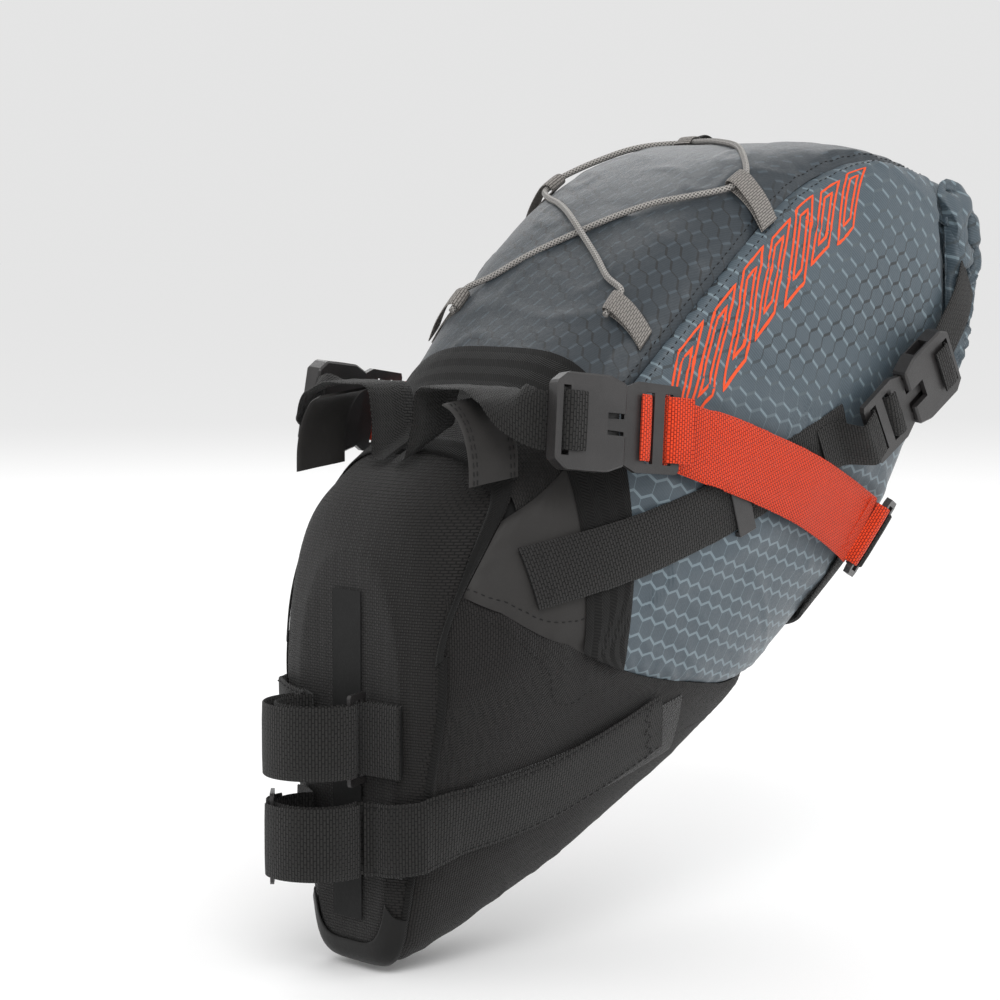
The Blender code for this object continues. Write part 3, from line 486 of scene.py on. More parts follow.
# The liner's near-black colour is painted shade where it shows in the seam gaps.
SEAM_SHADE_LINING = grained("grey_liner", rgb(14, 14, 14), rgb(24, 24, 24), 0.6, 0.1, 0.8)
GRIP = grained("grip_rubber", rgb(24, 24, 24), rgb(40, 40, 40), 0.9, 0.2, 0.8)
PILE = pile_look("loop_pile")
CORD = braided("grey_cord", rgb(170, 166, 161), rgb(74, 72, 70))
PRINT = grained("orange_print", rgb(226, 74, 32), rgb(236, 92, 48), 0.8, 0.05, 0.55)
THREAD = grained("black_thread", rgb(12, 12, 12), rgb(34, 33, 33), 2.0, 0.1, 0.6)
ORANGE_THREAD = grained("orange_thread", rgb(190, 44, 14), rgb(226, 70, 34), 2.0, 0.1, 0.6)


# ---------------------------------------------------------------- mesh builders
def keep(thing, body, slot, replaces=()):
    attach(thing, body)
    if replaces:
        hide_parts(*replaces)
    return thing


def mesh_piece(name, points, faces, mat, uvs=None, sharp=40):
    """Object from points in millimetres; uvs gives each point's flat place in millimetres."""
    data = bpy.data.meshes.new(name)
    data.from_pydata([tuple(c * MM for c in p) for p in points], [], faces)
    if uvs is not None:
        layer = data.uv_layers.new(name="cloth")
        corner = np.zeros(len(data.loops), int)
        data.loops.foreach_get("vertex_index", corner)
        layer.data.foreach_set("uv", (np.array(uvs, float)[corner] * 0.01).ravel())
    data.shade_smooth()
    data.set_sharp_from_angle(angle=math.radians(sharp))
    data.materials.append(mat)
    thing = bpy.data.objects.new(name, data)
    bpy.context.scene.collection.objects.link(thing)
    return thing


def flat_places(grid):
    """Distances along rows and columns of a grid of points, for texture places."""
    p = np.array([[tuple(q) for q in row] for row in grid], float)
    along = np.zeros(p.shape[:2])
    across = np.zeros(p.shape[:2])
    along[1:] = np.cumsum(np.linalg.norm(np.diff(p, axis=0), axis=2), axis=0)
    across[:, 1:] = np.cumsum(np.linalg.norm(np.diff(p, axis=1), axis=2), axis=1)
    middle = p.shape[0] // 2, p.shape[1] // 2
    return along, across - across[:, middle[1]:middle[1] + 1], p


def sheet_faces(rows, cols, flip=False):
    quads = [(r * cols + c, r * cols + c + 1, (r + 1) * cols + c + 1, (r + 1) * cols + c)
             for r in range(rows - 1) for c in range(cols - 1)]
    return [q[::-1] for q in quads] if flip else quads


def cloth_sheet(name, place, rows, cols, mat, edges=(2.2, 2.2, 2.2, 2.2), height=2.2,
                wrinkle=1.0, swell=None, pucker=0.55, seed=0.0, plane=False, swap=False):
    """Stuffed panel of cloth: place(u, v) gives its ring and angle; edges pull it in.

    edges are how far the seams at u 0, u 1, v 0 and v 1 draw the cloth in.
    """
    at = [[place(r / (rows - 1), c / (cols - 1)) for c in range(cols)] for r in range(rows)]
    base = [[cloth_form(s, a) for s, a in row] for row in at]
    along, across, p = flat_places(base)
    wide = across - across[:, :1]
    to_edge = (along, along[-1:] - along, wide, wide[:, -1:] - wide)
    beside = (wide, wide, along, along)
    points = []
    for r in range(rows):
        for c in range(cols):
            s, a = at[r][c]
            q = base[r][c]
            lift = height
            for k, pull in enumerate(edges):
                if not pull:
                    continue
                d = float(to_edge[k][r, c])
                w = float(beside[k][r, c])
                lift -= pull * math.exp(-(d / 2.6) ** 1.3)
                ruck = math.sin(w / 1.55 + 2.3 * noise.noise(Vector((w * 0.06, seed, k))))
                lift += pucker * ruck * math.exp(-d / 6.5) * (1 - math.exp(-d / 1.5))
            n1 = noise.noise(Vector((q.x, q.y, q.z)) * 0.021 + Vector((seed, 0, 0)))
            n2 = noise.noise(Vector((q.x * 0.05, q.y * 0.05 + seed, q.z * 0.03)))
            n3 = 1 - abs(noise.noise(Vector((q.x * 0.022 + q.z * 0.03, q.y * 0.03, seed + 4.0)))) * 2
            lift += wrinkle * (0.9 * n1 + 0.45 * n2 + 0.7 * max(0.0, n3 - 0.8) * 4)
            if swell:
                lift = swell(q, lift, s)
            points.append(q + outward(s, a) * lift)
    flat = (across, along) if swap else (along, across)
    uvs = np.stack([flat[0].ravel(), flat[1].ravel()], axis=1)
    if plane:
        order = slice(None) if p[0, 0, 2] > p[0, -1, 2] else slice(None, None, -1)
        steps = np.diff(p[:, order], axis=1)
        drops = np.sqrt(np.maximum((steps ** 2).sum(axis=2) - steps[:, :, 0] ** 2, 0.0))
        z = np.array(p[:, order, 2])
        z[:, 1:] = z[:, :1] - np.cumsum(drops, axis=1)
        x, z = p[:, :, 0].ravel(), z[:, order].ravel()
        turn = math.radians(18)
        uvs = np.stack([x * math.cos(turn) - z * math.sin(turn),
                        x * math.sin(turn) + z * math.cos(turn)], axis=1)
    return mesh_piece(name, points, sheet_faces(rows, cols), mat, uvs, 60)


def strap_mesh(name, mids, normals, thick, mat, edge=0.5):
    """Webbing whose middle surface is a grid of points, with rounded selvedges."""
    rows, cols = len(mids), len(mids[0])
    along, across, _ = flat_places(mids)
    points, uvs, faces = [], [], []
    ring = 2 * cols + 2
    for r in range(rows):
        m, n = mids[r], normals[r]
        for c in range(cols):
            rim = 0.72 if c in (0, cols - 1) else 1.0
            points.append(m[c] + n[c] * thick / 2 * rim)
            uvs.append((along[r, c], across[r, c]))
        side = (m[-1] - m[-2]).normalized()
        points.append(m[-1] + side * edge)
        uvs.append((along[r, -1], across[r, -1] + edge))
        for c in reversed(range(cols)):
            rim = 0.72 if c in (0, cols - 1) else 1.0
            points.append(m[c] - n[c] * thick / 2 * rim)
            uvs.append((along[r, c], across[r, c]))
        points.append(m[0] - (m[1] - m[0]).normalized() * edge)
        uvs.append((along[r, 0], across[r, 0] - edge))
    for r in range(rows - 1):
        for k in range(ring):
            j = (k + 1) % ring
            faces.append((r * ring + k, r * ring + j, (r + 1) * ring + j, (r + 1) * ring + k))
    faces.append(tuple(range(ring)))
    last = (rows - 1) * ring
    faces.append(tuple(last + k for k in reversed(range(ring))))
    return mesh_piece(name, points, faces, mat, uvs, 50)


def band_along(line, ups, width, cols=5):
    """Middle surface and normals of flat webbing along a line."""
    mids, normals = [], []
    for i, p in enumerate(line):
        way = way_at(line, i)
        face = way.cross(ups[i]).normalized()
        mids.append([p + ups[i] * width * (k / (cols - 1) - 0.5) for k in range(cols)])
        normals.append([face] * cols)
    return mids, normals


def band_on_side(path, width, hand, height, cols=9, step=2.5):
    """Middle surface and normals of webbing laid on the bag's side."""
    line = resample([Vector((p[0], 0, p[1])) for p in path], step)
    width -= 1.0
    mids, normals = [], []
    for i, p in enumerate(line):
        way = way_at(line, i)
        side = Vector((-way.z, 0, way.x))
        h = height(i / (len(line) - 1)) if callable(height) else height
        m, n = [], []
        for k in range(cols):
            q = p + side * width * (k / (cols - 1) - 0.5)
            low = on_side(q.x, q.z, hand, 0)
            high = on_side(q.x, q.z, hand, 10)
            out = (high - low).normalized()
            m.append(low + out * h)
            n.append(out)
        mids.append(m)
        normals.append(n)
    return mids, normals


def stitch_line(name, line, normals, mat, length=2.6, pitch=3.6, thick=0.55):
    """Row of raised thread stitches along a line."""
    points, faces = [], []
    run = 0.0
    total = [0.0]
    for a, b in zip(line, line[1:]):
        total.append(total[-1] + (b - a).length)

    def at(d):
        k = min(max(int(np.searchsorted(total, d)) - 1, 0), len(line) - 2)
        t = (d - total[k]) / max(total[k + 1] - total[k], 1e-6)
        return line[k].lerp(line[k + 1], t), normals[k].lerp(normals[k + 1], t).normalized()

    while run + length < total[-1]:
        (p, n), (q, _), (m, _) = at(run), at(run + length), at(run + length / 2)
        way = (q - p).normalized()
        side = way.cross(n).normalized() * thick / 2
        first = len(points)
        points += [p - n * 0.2, p + way * 0.5 - side + n * 0.1, p + way * 0.5 + side + n * 0.1,
                   m - side + n * 0.14, m + side + n * 0.14, m + n * 0.42,
                   q - way * 0.5 - side + n * 0.1, q - way * 0.5 + side + n * 0.1, q - n * 0.2,
                   p + way * 0.6 + n * 0.34, q - way * 0.6 + n * 0.34]
        f = [(0, 9, 1), (0, 2, 9), (1, 9, 5, 3), (9, 2, 4, 5), (3, 5, 10, 6), (5, 4, 7, 10),
             (6, 10, 8), (10, 7, 8)]
        faces += [tuple(first + k for k in face) for face in f]
        run += pitch
    return mesh_piece(name, points, faces, mat, None, 60)


# ---------------------------------------------------------------- bag body
def distance_to(path, x, z):
    best = 1e9
    for (x0, z0), (x1, z1) in zip(path, path[1:]):
        t = ((x - x0) * (x1 - x0) + (z - z0) * (z1 - z0)) / ((x1 - x0) ** 2 + (z1 - z0) ** 2)
        t = min(max(t, 0), 1)
        best = min(best, math.hypot(x - x0 - (x1 - x0) * t, z - z0 - (z1 - z0) * t))
    return best


def pressed(q, lift, s=9.0):
    """Cloth bulges beside the straps that press on it and lies flat beneath them."""
    beside_band = smooth((0.62 - abs(s - 4.5)) / 0.3)
    lift = lift * (1 - beside_band) + min(lift, 2.2) * beside_band
    if abs(q.y) < 30:
        return lift
    for path, half in ((CINCH_PATH, NARROW_WEB / 2), (ORANGE_PATH, WEB / 2)):
        d = distance_to(path, q.x, q.z) - half
        bulge = 1.5 * math.exp(-((d - 9) / 7) ** 2) * (1 - beside_band)
        under = smooth((3 - d) / 6)
        lift = (lift + bulge) * (1 - under) + (3.0 - 0.8 * beside_band) * under
    return min(lift, 5.6)


def build_body():
    made = {}

    def across_at(first, last):
        def place(u, v):
            s = first + (last - first) * u
            return s, seam_at(s) * (1 - 2 * v)
        return place
    # The top is drawn in the darker ripstop, painted shadow of the saddle.
    top = cloth_sheet("top_cloth", across_at(4.5, 9.05), 110, 90, SADDLE_SHADOW_HEX,
                      (0, 1.0, 2.4, 2.4), wrinkle=1.2, seed=1.0)
    keep(top, "bag", "dark_ripstop", ("top_panel",))
    piece = cloth_sheet("crown_cloth", across_at(3.5, 4.52), 30, 70, BALLISTIC,
                        (0, 0, 1.6, 1.6), wrinkle=0.5, seed=1.5)
    keep(piece, "bag", "ballistic_nylon", ("top_panel",))
    piece = cloth_sheet("crown_band", across_at(4.2, 4.76), 16, 90, TAPE, (0.5, 0.5, 0, 0), 3.3,
                        0.15, seed=2.0, pucker=0.12, swap=True)
    keep(piece, "bag", "herringbone_tape")
    made["top"] = top
    for hand, tag in ANGLE_SIDES:
        def side(u, v, hand=hand):
            s = 4.6 + 4.45 * u
            low, high = seam_at(s), hull_edge(s) + math.radians(8.5) * smooth((s - 6.5) / 0.25)
            return s, hand * (low + (high - low) * (v if hand > 0 else 1 - v))
        seams = (0, 1.2, 2.4, 2.0) if hand > 0 else (0, 1.2, 2.0, 2.4)
        piece = cloth_sheet(f"side_cloth_{tag}", side, 120, 84, HEX, seams, wrinkle=1.25,
                            swell=pressed, seed=3.0 + hand, plane=True)
        keep(piece, "bag", "hex_ripstop", (f"side_panel_{tag}",))
        made[tag] = piece

        def grip(u, v, hand=hand):
            v = v if hand > 0 else 1 - v
            s = 2.5
            for _ in range(14):
                s = front_edge(SEAM + (hull_edge(s) - SEAM) * v)
            s = s + (4.62 - s) * u
            return s, hand * (SEAM + (hull_edge(s) - SEAM) * v)
        seams = (1.0, 0, 1.6, 1.8) if hand > 0 else (1.0, 0, 1.8, 1.6)
        piece = cloth_sheet(f"grip_cloth_{tag}", grip, 50, 40, RUBBERY, seams, wrinkle=0.5,
                            swell=pressed, seed=6.0 + hand, pucker=0.3)
        keep(piece, "bag", "coated_grey", (f"grip_panel_{tag}",))
        made["grip_" + tag] = piece
        band = cloth_sheet(f"band_cloth_{tag}", lambda u, v, hand=hand: (
            4.2 + 0.56 * u, hand * (SEAM - 0.01 + (hull_edge(4.2 + 0.56 * u) - SEAM + 0.01)
                                    * (v if hand > 0 else 1 - v))),
            16, 90, TAPE, (0.5, 0.5, 0, 0), 3.2, 0.15, seed=2.0, pucker=0.12, swap=True)
        keep(band, "bag", "herringbone_tape", (f"side_band_{tag}",))

    def hull(u, v):
        s = 2.0 + 4.7 * u
        low = hull_edge(s)
        return s, low + (2 * math.pi - 2 * low) * v
    piece = cloth_sheet("hull_cloth", hull, 110, 110, BALLISTIC, (0.9, 1.2, 1.6, 1.6),
                        wrinkle=0.9, seed=8.0, pucker=0.3)
    keep(piece, "bag", "ballistic_nylon", ("lower_hull",))
    made["hull"] = piece
    build_front()
    build_lining()
    return made


def build_lining():
    """Liner just beneath the cloth, near-black as painted shade in the seams, the only place it is seen.
    """
    turns, rings = 72, 100
    points = [cloth_form(s, a) - outward(max(s, 1.02), a) * 0.4 for s, a in
              ((0.1 + 9.1 * i / (rings - 1), 2 * math.pi * k / turns)
               for i in range(rings) for k in range(turns))]
    faces = [(i * turns + k, (i + 1) * turns + k, (i + 1) * turns + (k + 1) % turns,
              i * turns + (k + 1) % turns) for i in range(rings - 1) for k in range(turns)]
    keep(mesh_piece("lining", points, faces, SEAM_SHADE_LINING, None, 60), "bag", "grey_liner",
         ("inner_liner",))


def build_front():
    turns, rings = 120, 36
    points, uvs = [], []
    for i in range(rings):
        part = i / (rings - 1)
        for k in range(turns):
            a = 2 * math.pi * k / turns
            edge = front_edge(min(a, 2 * math.pi - a))
            s = 0.12 + (edge - 0.12) * part
            q = surface(s, a)
            blend = smooth((s - 0.85) / 0.4)
            out = (Vector((-1, 0, 0)) * (1 - blend) + outward(max(s, 1.02), a) * blend).normalized()
            lift = 2.0 - 0.3 * math.exp(-((1 - part) * 40 / 3.0) ** 1.2)
            lift += 0.35 * noise.noise(q * 0.03) - 0.3
            points.append(q + out * lift)
            uvs.append((q.z, q.y * 1.0))
    faces = [(i * turns + k, (i + 1) * turns + k, (i + 1) * turns + (k + 1) % turns,
              i * turns + (k + 1) % turns) for i in range(rings - 1) for k in range(turns)]
    faces.append(tuple(range(turns)))
    piece = mesh_piece("front_cloth", points, faces, BALLISTIC, uvs, 60)
    keep(piece, "bag", "ballistic_nylon", ("front_panel",))


def tree_of(piece):
    points = [v.co / MM for v in piece.data.vertices]
    return BVHTree.FromPolygons(points, [tuple(p.vertices) for p in piece.data.polygons])


def on_cloth(tree, point, height):
    """Point just off a cloth piece, nearest to the given one, and its normal there."""
    at, normal, _, _ = tree.find_nearest(point)
    if (point - at).dot(normal) < 0:
        normal = -normal
    return at + normal * height, normal


# ---------------------------------------------------------------- printed linework
def linework(tag, hand, tree):
    """Abstract slanted outlines under the top seam, each drawn inside the last."""
    strips = []
    s0, s1, total = 4.95, 7.85, 150.0

    def spot(x, y):
        s = s0 + (s1 - s0) * x / total
        return cloth_form(s, hand * (seam_at(s) + (y + 5) / 84.0))

    for i in range(7):
        x, low, tall, slant = 24.0 + 19.0 * i, 1.5 + 1.5 * (i % 2), 31.0 - 4.0 * (i % 2), 22.0
        strips.append([(x, low), (x + 13, low), (x + 13 - slant, low + tall),
                       (x - slant, low + tall), (x, low)])
        a, b, inset = 0.16, 0.84, 3.6
        strips.append([(x + inset - slant * a, low + tall * a),
                       (x + 13 - inset - slant * a, low + tall * a),
                       (x + 13 - inset - slant * b, low + tall * b),
                       (x + inset - slant * b, low + tall * b),
                       (x + inset - slant * a, low + tall * a)])
    points, faces = [], []
    for corners in strips:
        line = []
        for (x0, y0), (x1, y1) in zip(corners, corners[1:]):
            count = max(2, int(math.hypot(x1 - x0, y1 - y0) / 1.5))
            line += [(x0 + (x1 - x0) * k / count, y0 + (y1 - y0) * k / count)
                     for k in range(count)]
        line.append(corners[-1])
        for i, (x, y) in enumerate(line):
            px, py = line[max(i - 1, 0)]
            nx, ny = line[min(i + 1, len(line) - 1)]
            d = math.hypot(nx - px, ny - py) or 1.0
            ox, oy = -(ny - py) / d * 0.7, (nx - px) / d * 0.7
            for sign in (-1, 1):
                p, _ = on_cloth(tree, spot(x + ox * sign, y + oy * sign) * 1.0
                                + Vector((0, -hand * 4.0, 0)), 0.14)
                points.append(p)
            if i:
                n = len(points)
                faces.append((n - 4, n - 3, n - 1, n - 2))
    piece = mesh_piece(f"linework_{tag}", points, faces, PRINT, None, 60)
    keep(piece, "bag", "orange_webbing")


body_pieces = build_body()
for hand, tag in ANGLE_SIDES:
    linework(tag, hand, tree_of(body_pieces[tag]))


# ---------------------------------------------------------------- roll and its gusset
def roll_outline(count):
    ring = [Vector((x, 0, z)) for x, z in ROLL_SIDE]
    closed = resample(ring + ring[:1], 2.0)[:-1]
    return [closed[int(len(closed) * k / count) % len(closed)] for k in range(count)]


def build_roll():
    middle = Vector((307, 0, 64))
    outline = roll_outline(72)
    turns = 2.2
    steps = int(72 * turns)
    rows = []
    for j in range(81):
        y = -81.5 + 163 * j / 80
        crown = 8 * (1 - (y / 81.5) ** 2)
        end = smooth((abs(y) - 66) / 15)
        row = []
        for i in range(steps + 1):
            t = i / 72
            p = outline[(i + 30) % 72]
            part = (1 - 0.27 * t) * (1 - 0.1 * end)
            q = middle + (p - middle) * part
            q.z -= 2.2 * end * smooth((q.z - 70) / 30)
            fold = noise.noise(Vector((t * 6.0, y * 0.045, 2.0)))
            crease = noise.noise(Vector((t * 14.0, y * 0.012, 7.0)))
            ridge = 1 - 2 * abs(noise.noise(Vector((t * 9.0 + y * 0.01, y * 0.022, 11.0))))
            slack = noise.noise(Vector((t * 3.0, y * 0.02, 31.0)))
            push = (1.2 * fold + 1.1 * crease + 2.6 * max(ridge - 0.5, 0) + 1.6 * slack - 1.8) \
                * (1.25 + 1.1 * end)
            away = (q - middle).normalized()
            q = q + away * push
            row.append(Vector((q.x, y + 1.4 * noise.noise(Vector((t * 5, 0, y * 0.01))) * end,
                               q.z + crown * smooth((q.z - 50) / 50))))
        rows.append(row)
    along, across, _ = flat_places(rows)
    points = [p for row in rows for p in row]
    uvs = np.stack([across.ravel(), along.ravel()], axis=1)
    piece = mesh_piece("roll_cloth", points, sheet_faces(len(rows), steps + 1), HEX, uvs, 60)
    thick = piece.modifiers.new("thickness", "SOLIDIFY")
    thick.thickness = 0.9 * MM
    thick.offset = 0.0
    keep(piece, "roll", "hex_ripstop", ("roll_top",))


def build_roll_end(hand, tag):
    """Crumpled cloth over one end of the roll, creased towards where the webbing pulls."""
    outline = roll_outline(120)
    middle, pinch = Vector((308, 0, 64)), Vector((300, 0, 36))
    rings, turns = 40, 120
    points, uvs = [], []
    for r in range(rings + 1):
        rho = r / rings
        for k in range(turns):
            rim = middle + (outline[k] - middle) * 1.03
            q = middle.lerp(rim, rho)
            way = q - pinch
            bearing = math.atan2(way.z, way.x)
            near = smooth(way.length / 26)
            wave = bearing * 7.5 + 2.2 * noise.noise(Vector((q.x * 0.06, q.z * 0.05, hand)))
            fold = abs(math.sin(wave + 0.8 * noise.noise(Vector((q.z * 0.16, q.x * 0.1, 3.0))))) ** 0.5
            wide = noise.noise(Vector((q.x * 0.07, q.z * 0.07, 5.0 + hand)))
            depth = (fold - 1.0) * 6.5 * near + 2.4 * wide
            cover = 4.2 * smooth((q.z - 62) / 9) * smooth((1.02 - rho) / 0.35)
            y = 81.4 + depth * smooth((1.0 - rho) / 0.12) + cover - 2.6 * smooth((rho - 0.86) / 0.14)
            out = (rim - middle).normalized() * 0.9 * (fold - 0.5) * smooth((rho - 0.7) / 0.3)
            points.append(Vector((q.x + out.x, hand * y, q.z + out.z)))
            uvs.append((q.x * 1.1, q.z))
    faces = ring_faces(rings, turns)
    piece = mesh_piece(f"roll_end_{tag}", points, faces, HEX, uvs, 60)
    thick = piece.modifiers.new("thickness", "SOLIDIFY")
    thick.thickness = 0.8 * MM
    thick.offset = 0.0
    keep(piece, "roll", "hex_ripstop")


def build_gusset():
    """Mouth cloth from the rear seam into the roll, creased where it is folded."""
    turns, rows = 168, 26
    points, uvs = [], []
    middle = Vector((303, 0, 62))
    for r in range(rows):
        t = r / (rows - 1)
        for k in range(turns):
            a = 2 * math.pi * k / turns
            rim = cloth_form(9.02, a) + outward(9.0, a) * 1.2
            c, d = math.cos(a), math.sin(a)
            across = -math.copysign(abs(d) ** 0.35, d) * 76
            height = 62 + 38 * math.copysign(abs(c) ** 0.5, c)
            flat = Vector((299.5, across, height))
            q = rim.lerp(flat, t ** 0.8)
            q.x = rim.x + (flat.x - rim.x) * smooth(t * 1.3)
            away = Vector((0, q.y, q.z - middle.z)).normalized()
            fold = math.sin(a * 17 + 3 * noise.noise(Vector((c * 2, d * 2, t * 2))))
            q = q + away * (1.7 * fold * math.sin(math.pi * t) - 1.0 * math.sin(math.pi * t))
            q.x += 1.2 * noise.noise(q * 0.08) * math.sin(math.pi * t)
            points.append(q)
            uvs.append((t * 24, a * 80))
    faces = ring_faces(rows - 1, turns)
    faces.append(tuple((rows - 1) * turns + k for k in range(turns)))
    piece = mesh_piece("mouth_gusset", points, faces, HEX, uvs, 60)
    keep(piece, "bag", "hex_ripstop", ("inner_liner",))


build_roll()
for hand, tag in SIDES:
    build_roll_end(hand, tag)
build_gusset()


# ---------------------------------------------------------------- tape, boot and pile
def laid(name, place, rows, cols, height, thick, mat, slot, nodes=()):
    """Thin layer sewn on the form; place(u, v) gives its ring and angle."""
    mids, normals = [], []
    for r in range(rows):
        m, n = [], []
        for c in range(cols):
            s, a = place(r / (rows - 1), c / (cols - 1))
            out = outward(max(s, 1.02), a)
            m.append(surface(s, a) + out * height)
            n.append(out)
        mids.append(m)
        normals.append(n)
    piece = strap_mesh(name, mids, normals, thick, mat, 0.4)
    return keep(piece, "bag", slot, nodes)


def tape_and_pile():
    limit = math.radians(78)

    def collar(u, v):
        a = -limit + 2 * limit * u
        wide = 0.36 - 0.22 * smooth((abs(a) - math.radians(48)) / math.radians(20))
        return front_edge(abs(a)) - 0.04 - wide * (1 - v), a
    laid("collar_binding", collar, 90, 9, 2.4, 0.9, TAPE, "herringbone_tape", ("collar_tape",))

    def boot(u, v):
        return 1.12 + 0.86 * v, math.radians(122) + math.radians(116) * u
    laid("boot_patch", boot, 80, 12, 2.7, 0.9, BOOT, "coated_black", ("lower_boot",))

    def keel(u, v):
        return 6.7 + 2.3 * u, math.radians(176.5) + math.radians(7) * v
    laid("keel_seam", keel, 60, 5, 2.4, 0.9, WEBBING, "black_webbing", ("rear_panel_below",))
    for hand, tag in ANGLE_SIDES:
        def binding(u, v, hand=hand):
            a = math.radians(77.5) + math.radians(100.5) * u
            return front_edge(a) - 0.11 + 0.14 * v, hand * a
        laid(f"seam_binding_{tag}", binding, 90, 4, 2.1, 0.9, TAPE, "herringbone_tape")
    for name, hand, path in (
            ("lower_pile", -1, [(44, -151), (92, -140), (152, -124)]),
            ("upper_pile", 1, [(44, -117), (66, -116.5), (88, -116)])):
        mids, normals = band_on_side(path, 27, hand, 2.9, 11, 3.0)
        piece = strap_mesh(f"{name}_strip", mids, normals, 0.95, PILE, 0.4)
        keep(piece, "bag", "loop_pile", (name,))


tape_and_pile()


# ---------------------------------------------------------------- webbing
def bar_tack(name, mids, normals, row, body, slot, mat, cols=(1, -2), rows=2):
    """Dense cross stitching over a webbing's end."""
    line, out = [], []
    left, right = cols
    for k in range(9):
        r = row + (k % 2) * rows
        r = min(max(r, 0), len(mids) - 1)
        t = k / 8
        a = mids[r][left].lerp(mids[r][right], t)
        line.append(a + normals[r][0] * (WEB_T / 2 + 0.05))
        out.append(normals[r][0])
    piece = stitch_line(name, line, out, mat, 2.4, 2.6, 0.6)
    return keep(piece, body, slot)


def edge_stitches(name, mids, normals, column, body, slot, mat, rows=None):
    rows = rows or range(len(mids))
    line = [mids[r][column] + normals[r][column] * (WEB_T / 2 + 0.02) for r in rows]
    piece = stitch_line(name, line, [normals[r][column] for r in rows], mat)
    return keep(piece, body, slot)


def side_webbing(hand, tag):
    mids, normals = band_on_side(CINCH_PATH, NARROW_WEB, hand, 4.55)
    piece = strap_mesh(f"cinch_webbing_{tag}", mids, normals, WEB_T, WEBBING)
    keep(piece, "bag", "black_webbing", (f"cinch_strap_{tag}",))
    bar_tack(f"cinch_tack_{tag}", mids, normals, 3, "bag", "black_webbing", THREAD)

    def orange_height(t):
        return 8.65 - 1.2 * smooth((t - 0.55) / 0.2) + 1.2 * smooth((t - 0.85) / 0.15)
    mids, normals = band_on_side(ORANGE_PATH, WEB, hand, orange_height)
    lead = release_frame(hand) @ Matrix.Translation((25, 0, -1.75))
    cols = len(mids[0])
    start = [lead @ Vector((0, -hand * (WEB - 1) * (k / (cols - 1) - 0.5), 0))
             for k in range(cols)]
    face = lead.to_3x3() @ Vector((0, 0, 1))
    steps = 10
    first_m, first_n = mids[0], normals[0]
    lead_m = [[a.lerp(b, i / steps) for a, b in zip(start, first_m)] for i in range(steps)]
    lead_n = [[face.lerp(b, i / steps).normalized() for b in first_n] for i in range(steps)]
    mids, normals = lead_m + mids, lead_n + normals
    piece = strap_mesh(f"orange_webbing_{tag}", mids, normals, WEB_T, ORANGE)
    keep(piece, "bag", "orange_webbing", (f"orange_strap_{tag}",))
    edge_end = range(len(mids) - 6, len(mids))
    bar_tack(f"orange_tack_{tag}", mids, normals, len(mids) - 6, "bag", "orange_webbing",
             ORANGE_THREAD)
    for side_col in (1, -2):
        edge_stitches(f"orange_edge_{tag}_{side_col + 2}", mids, normals, side_col, "bag",
                      "orange_webbing", ORANGE_THREAD, edge_end)
    mids, normals = band_on_side([(258, -44), (250, -66), (236, -86)], 20, hand, 4.55)
    piece = strap_mesh(f"belly_webbing_{tag}", mids, normals, WEB_T, WEBBING)
    keep(piece, "bag", "black_webbing", (f"belly_strap_{tag}",))


def line_webbing(name, line, ups, width, body, mat, slot, nodes, step=1.5, thick=WEB_T):
    """Webbing along a curve; ups gives the width direction at each given point."""
    if not isinstance(ups, list):
        ups = [ups] * len(line)
    fine, fine_ups = [], []
    for i in range(len(line) - 1):
        p = [line[max(i - 1, 0)], line[i], line[i + 1], line[min(i + 2, len(line) - 1)]]
        count = max(1, round((p[2] - p[1]).length / step))
        for k in range(count):
            t = k / count
            m1, m2 = (p[2] - p[0]) / 2, (p[3] - p[1]) / 2
            fine.append((2 * t**3 - 3 * t**2 + 1) * p[1] + (t**3 - 2 * t**2 + t) * m1
                        + (-2 * t**3 + 3 * t**2) * p[2] + (t**3 - t**2) * m2)
            fine_ups.append(ups[i].lerp(ups[i + 1], smooth(t)).normalized())
    fine.append(line[-1].copy())
    fine_ups.append(ups[-1].normalized())
    mids, normals = band_along(fine, fine_ups, width - 1.0)
    piece = strap_mesh(name, mids, normals, thick, mat)
    keep(piece, body, slot, nodes)
    return mids, normals


def arc(radius, start, end, z, count):
    bearings = [math.radians(start + (end - start) * i / count) for i in range(count + 1)]
    return [Vector((radius * math.cos(b), radius * math.sin(b), z)) for b in bearings]


def around_ring(bearing, way, radius, turn_r, z):
    middle = arc(radius + turn_r, bearing, bearing, 0, 1)[0]
    radial = middle.normalized()
    ahead = Vector((-radial.y, radial.x, 0)) * way
    return [middle + ahead * math.sin(f) * 3.4 - radial * math.cos(f) * turn_r + UP * z
            for f in (math.pi * i / 6 for i in range(1, 6))]


def sewn_end(hand, z):
    corner = [Vector((20, hand * 32, z)), Vector((15.5, hand * 25.5, z)),
              Vector((12.0, hand * 19.5, z))]
    return [clear_strip(p, UP, WEB / 2, 3.85) for p in corner]


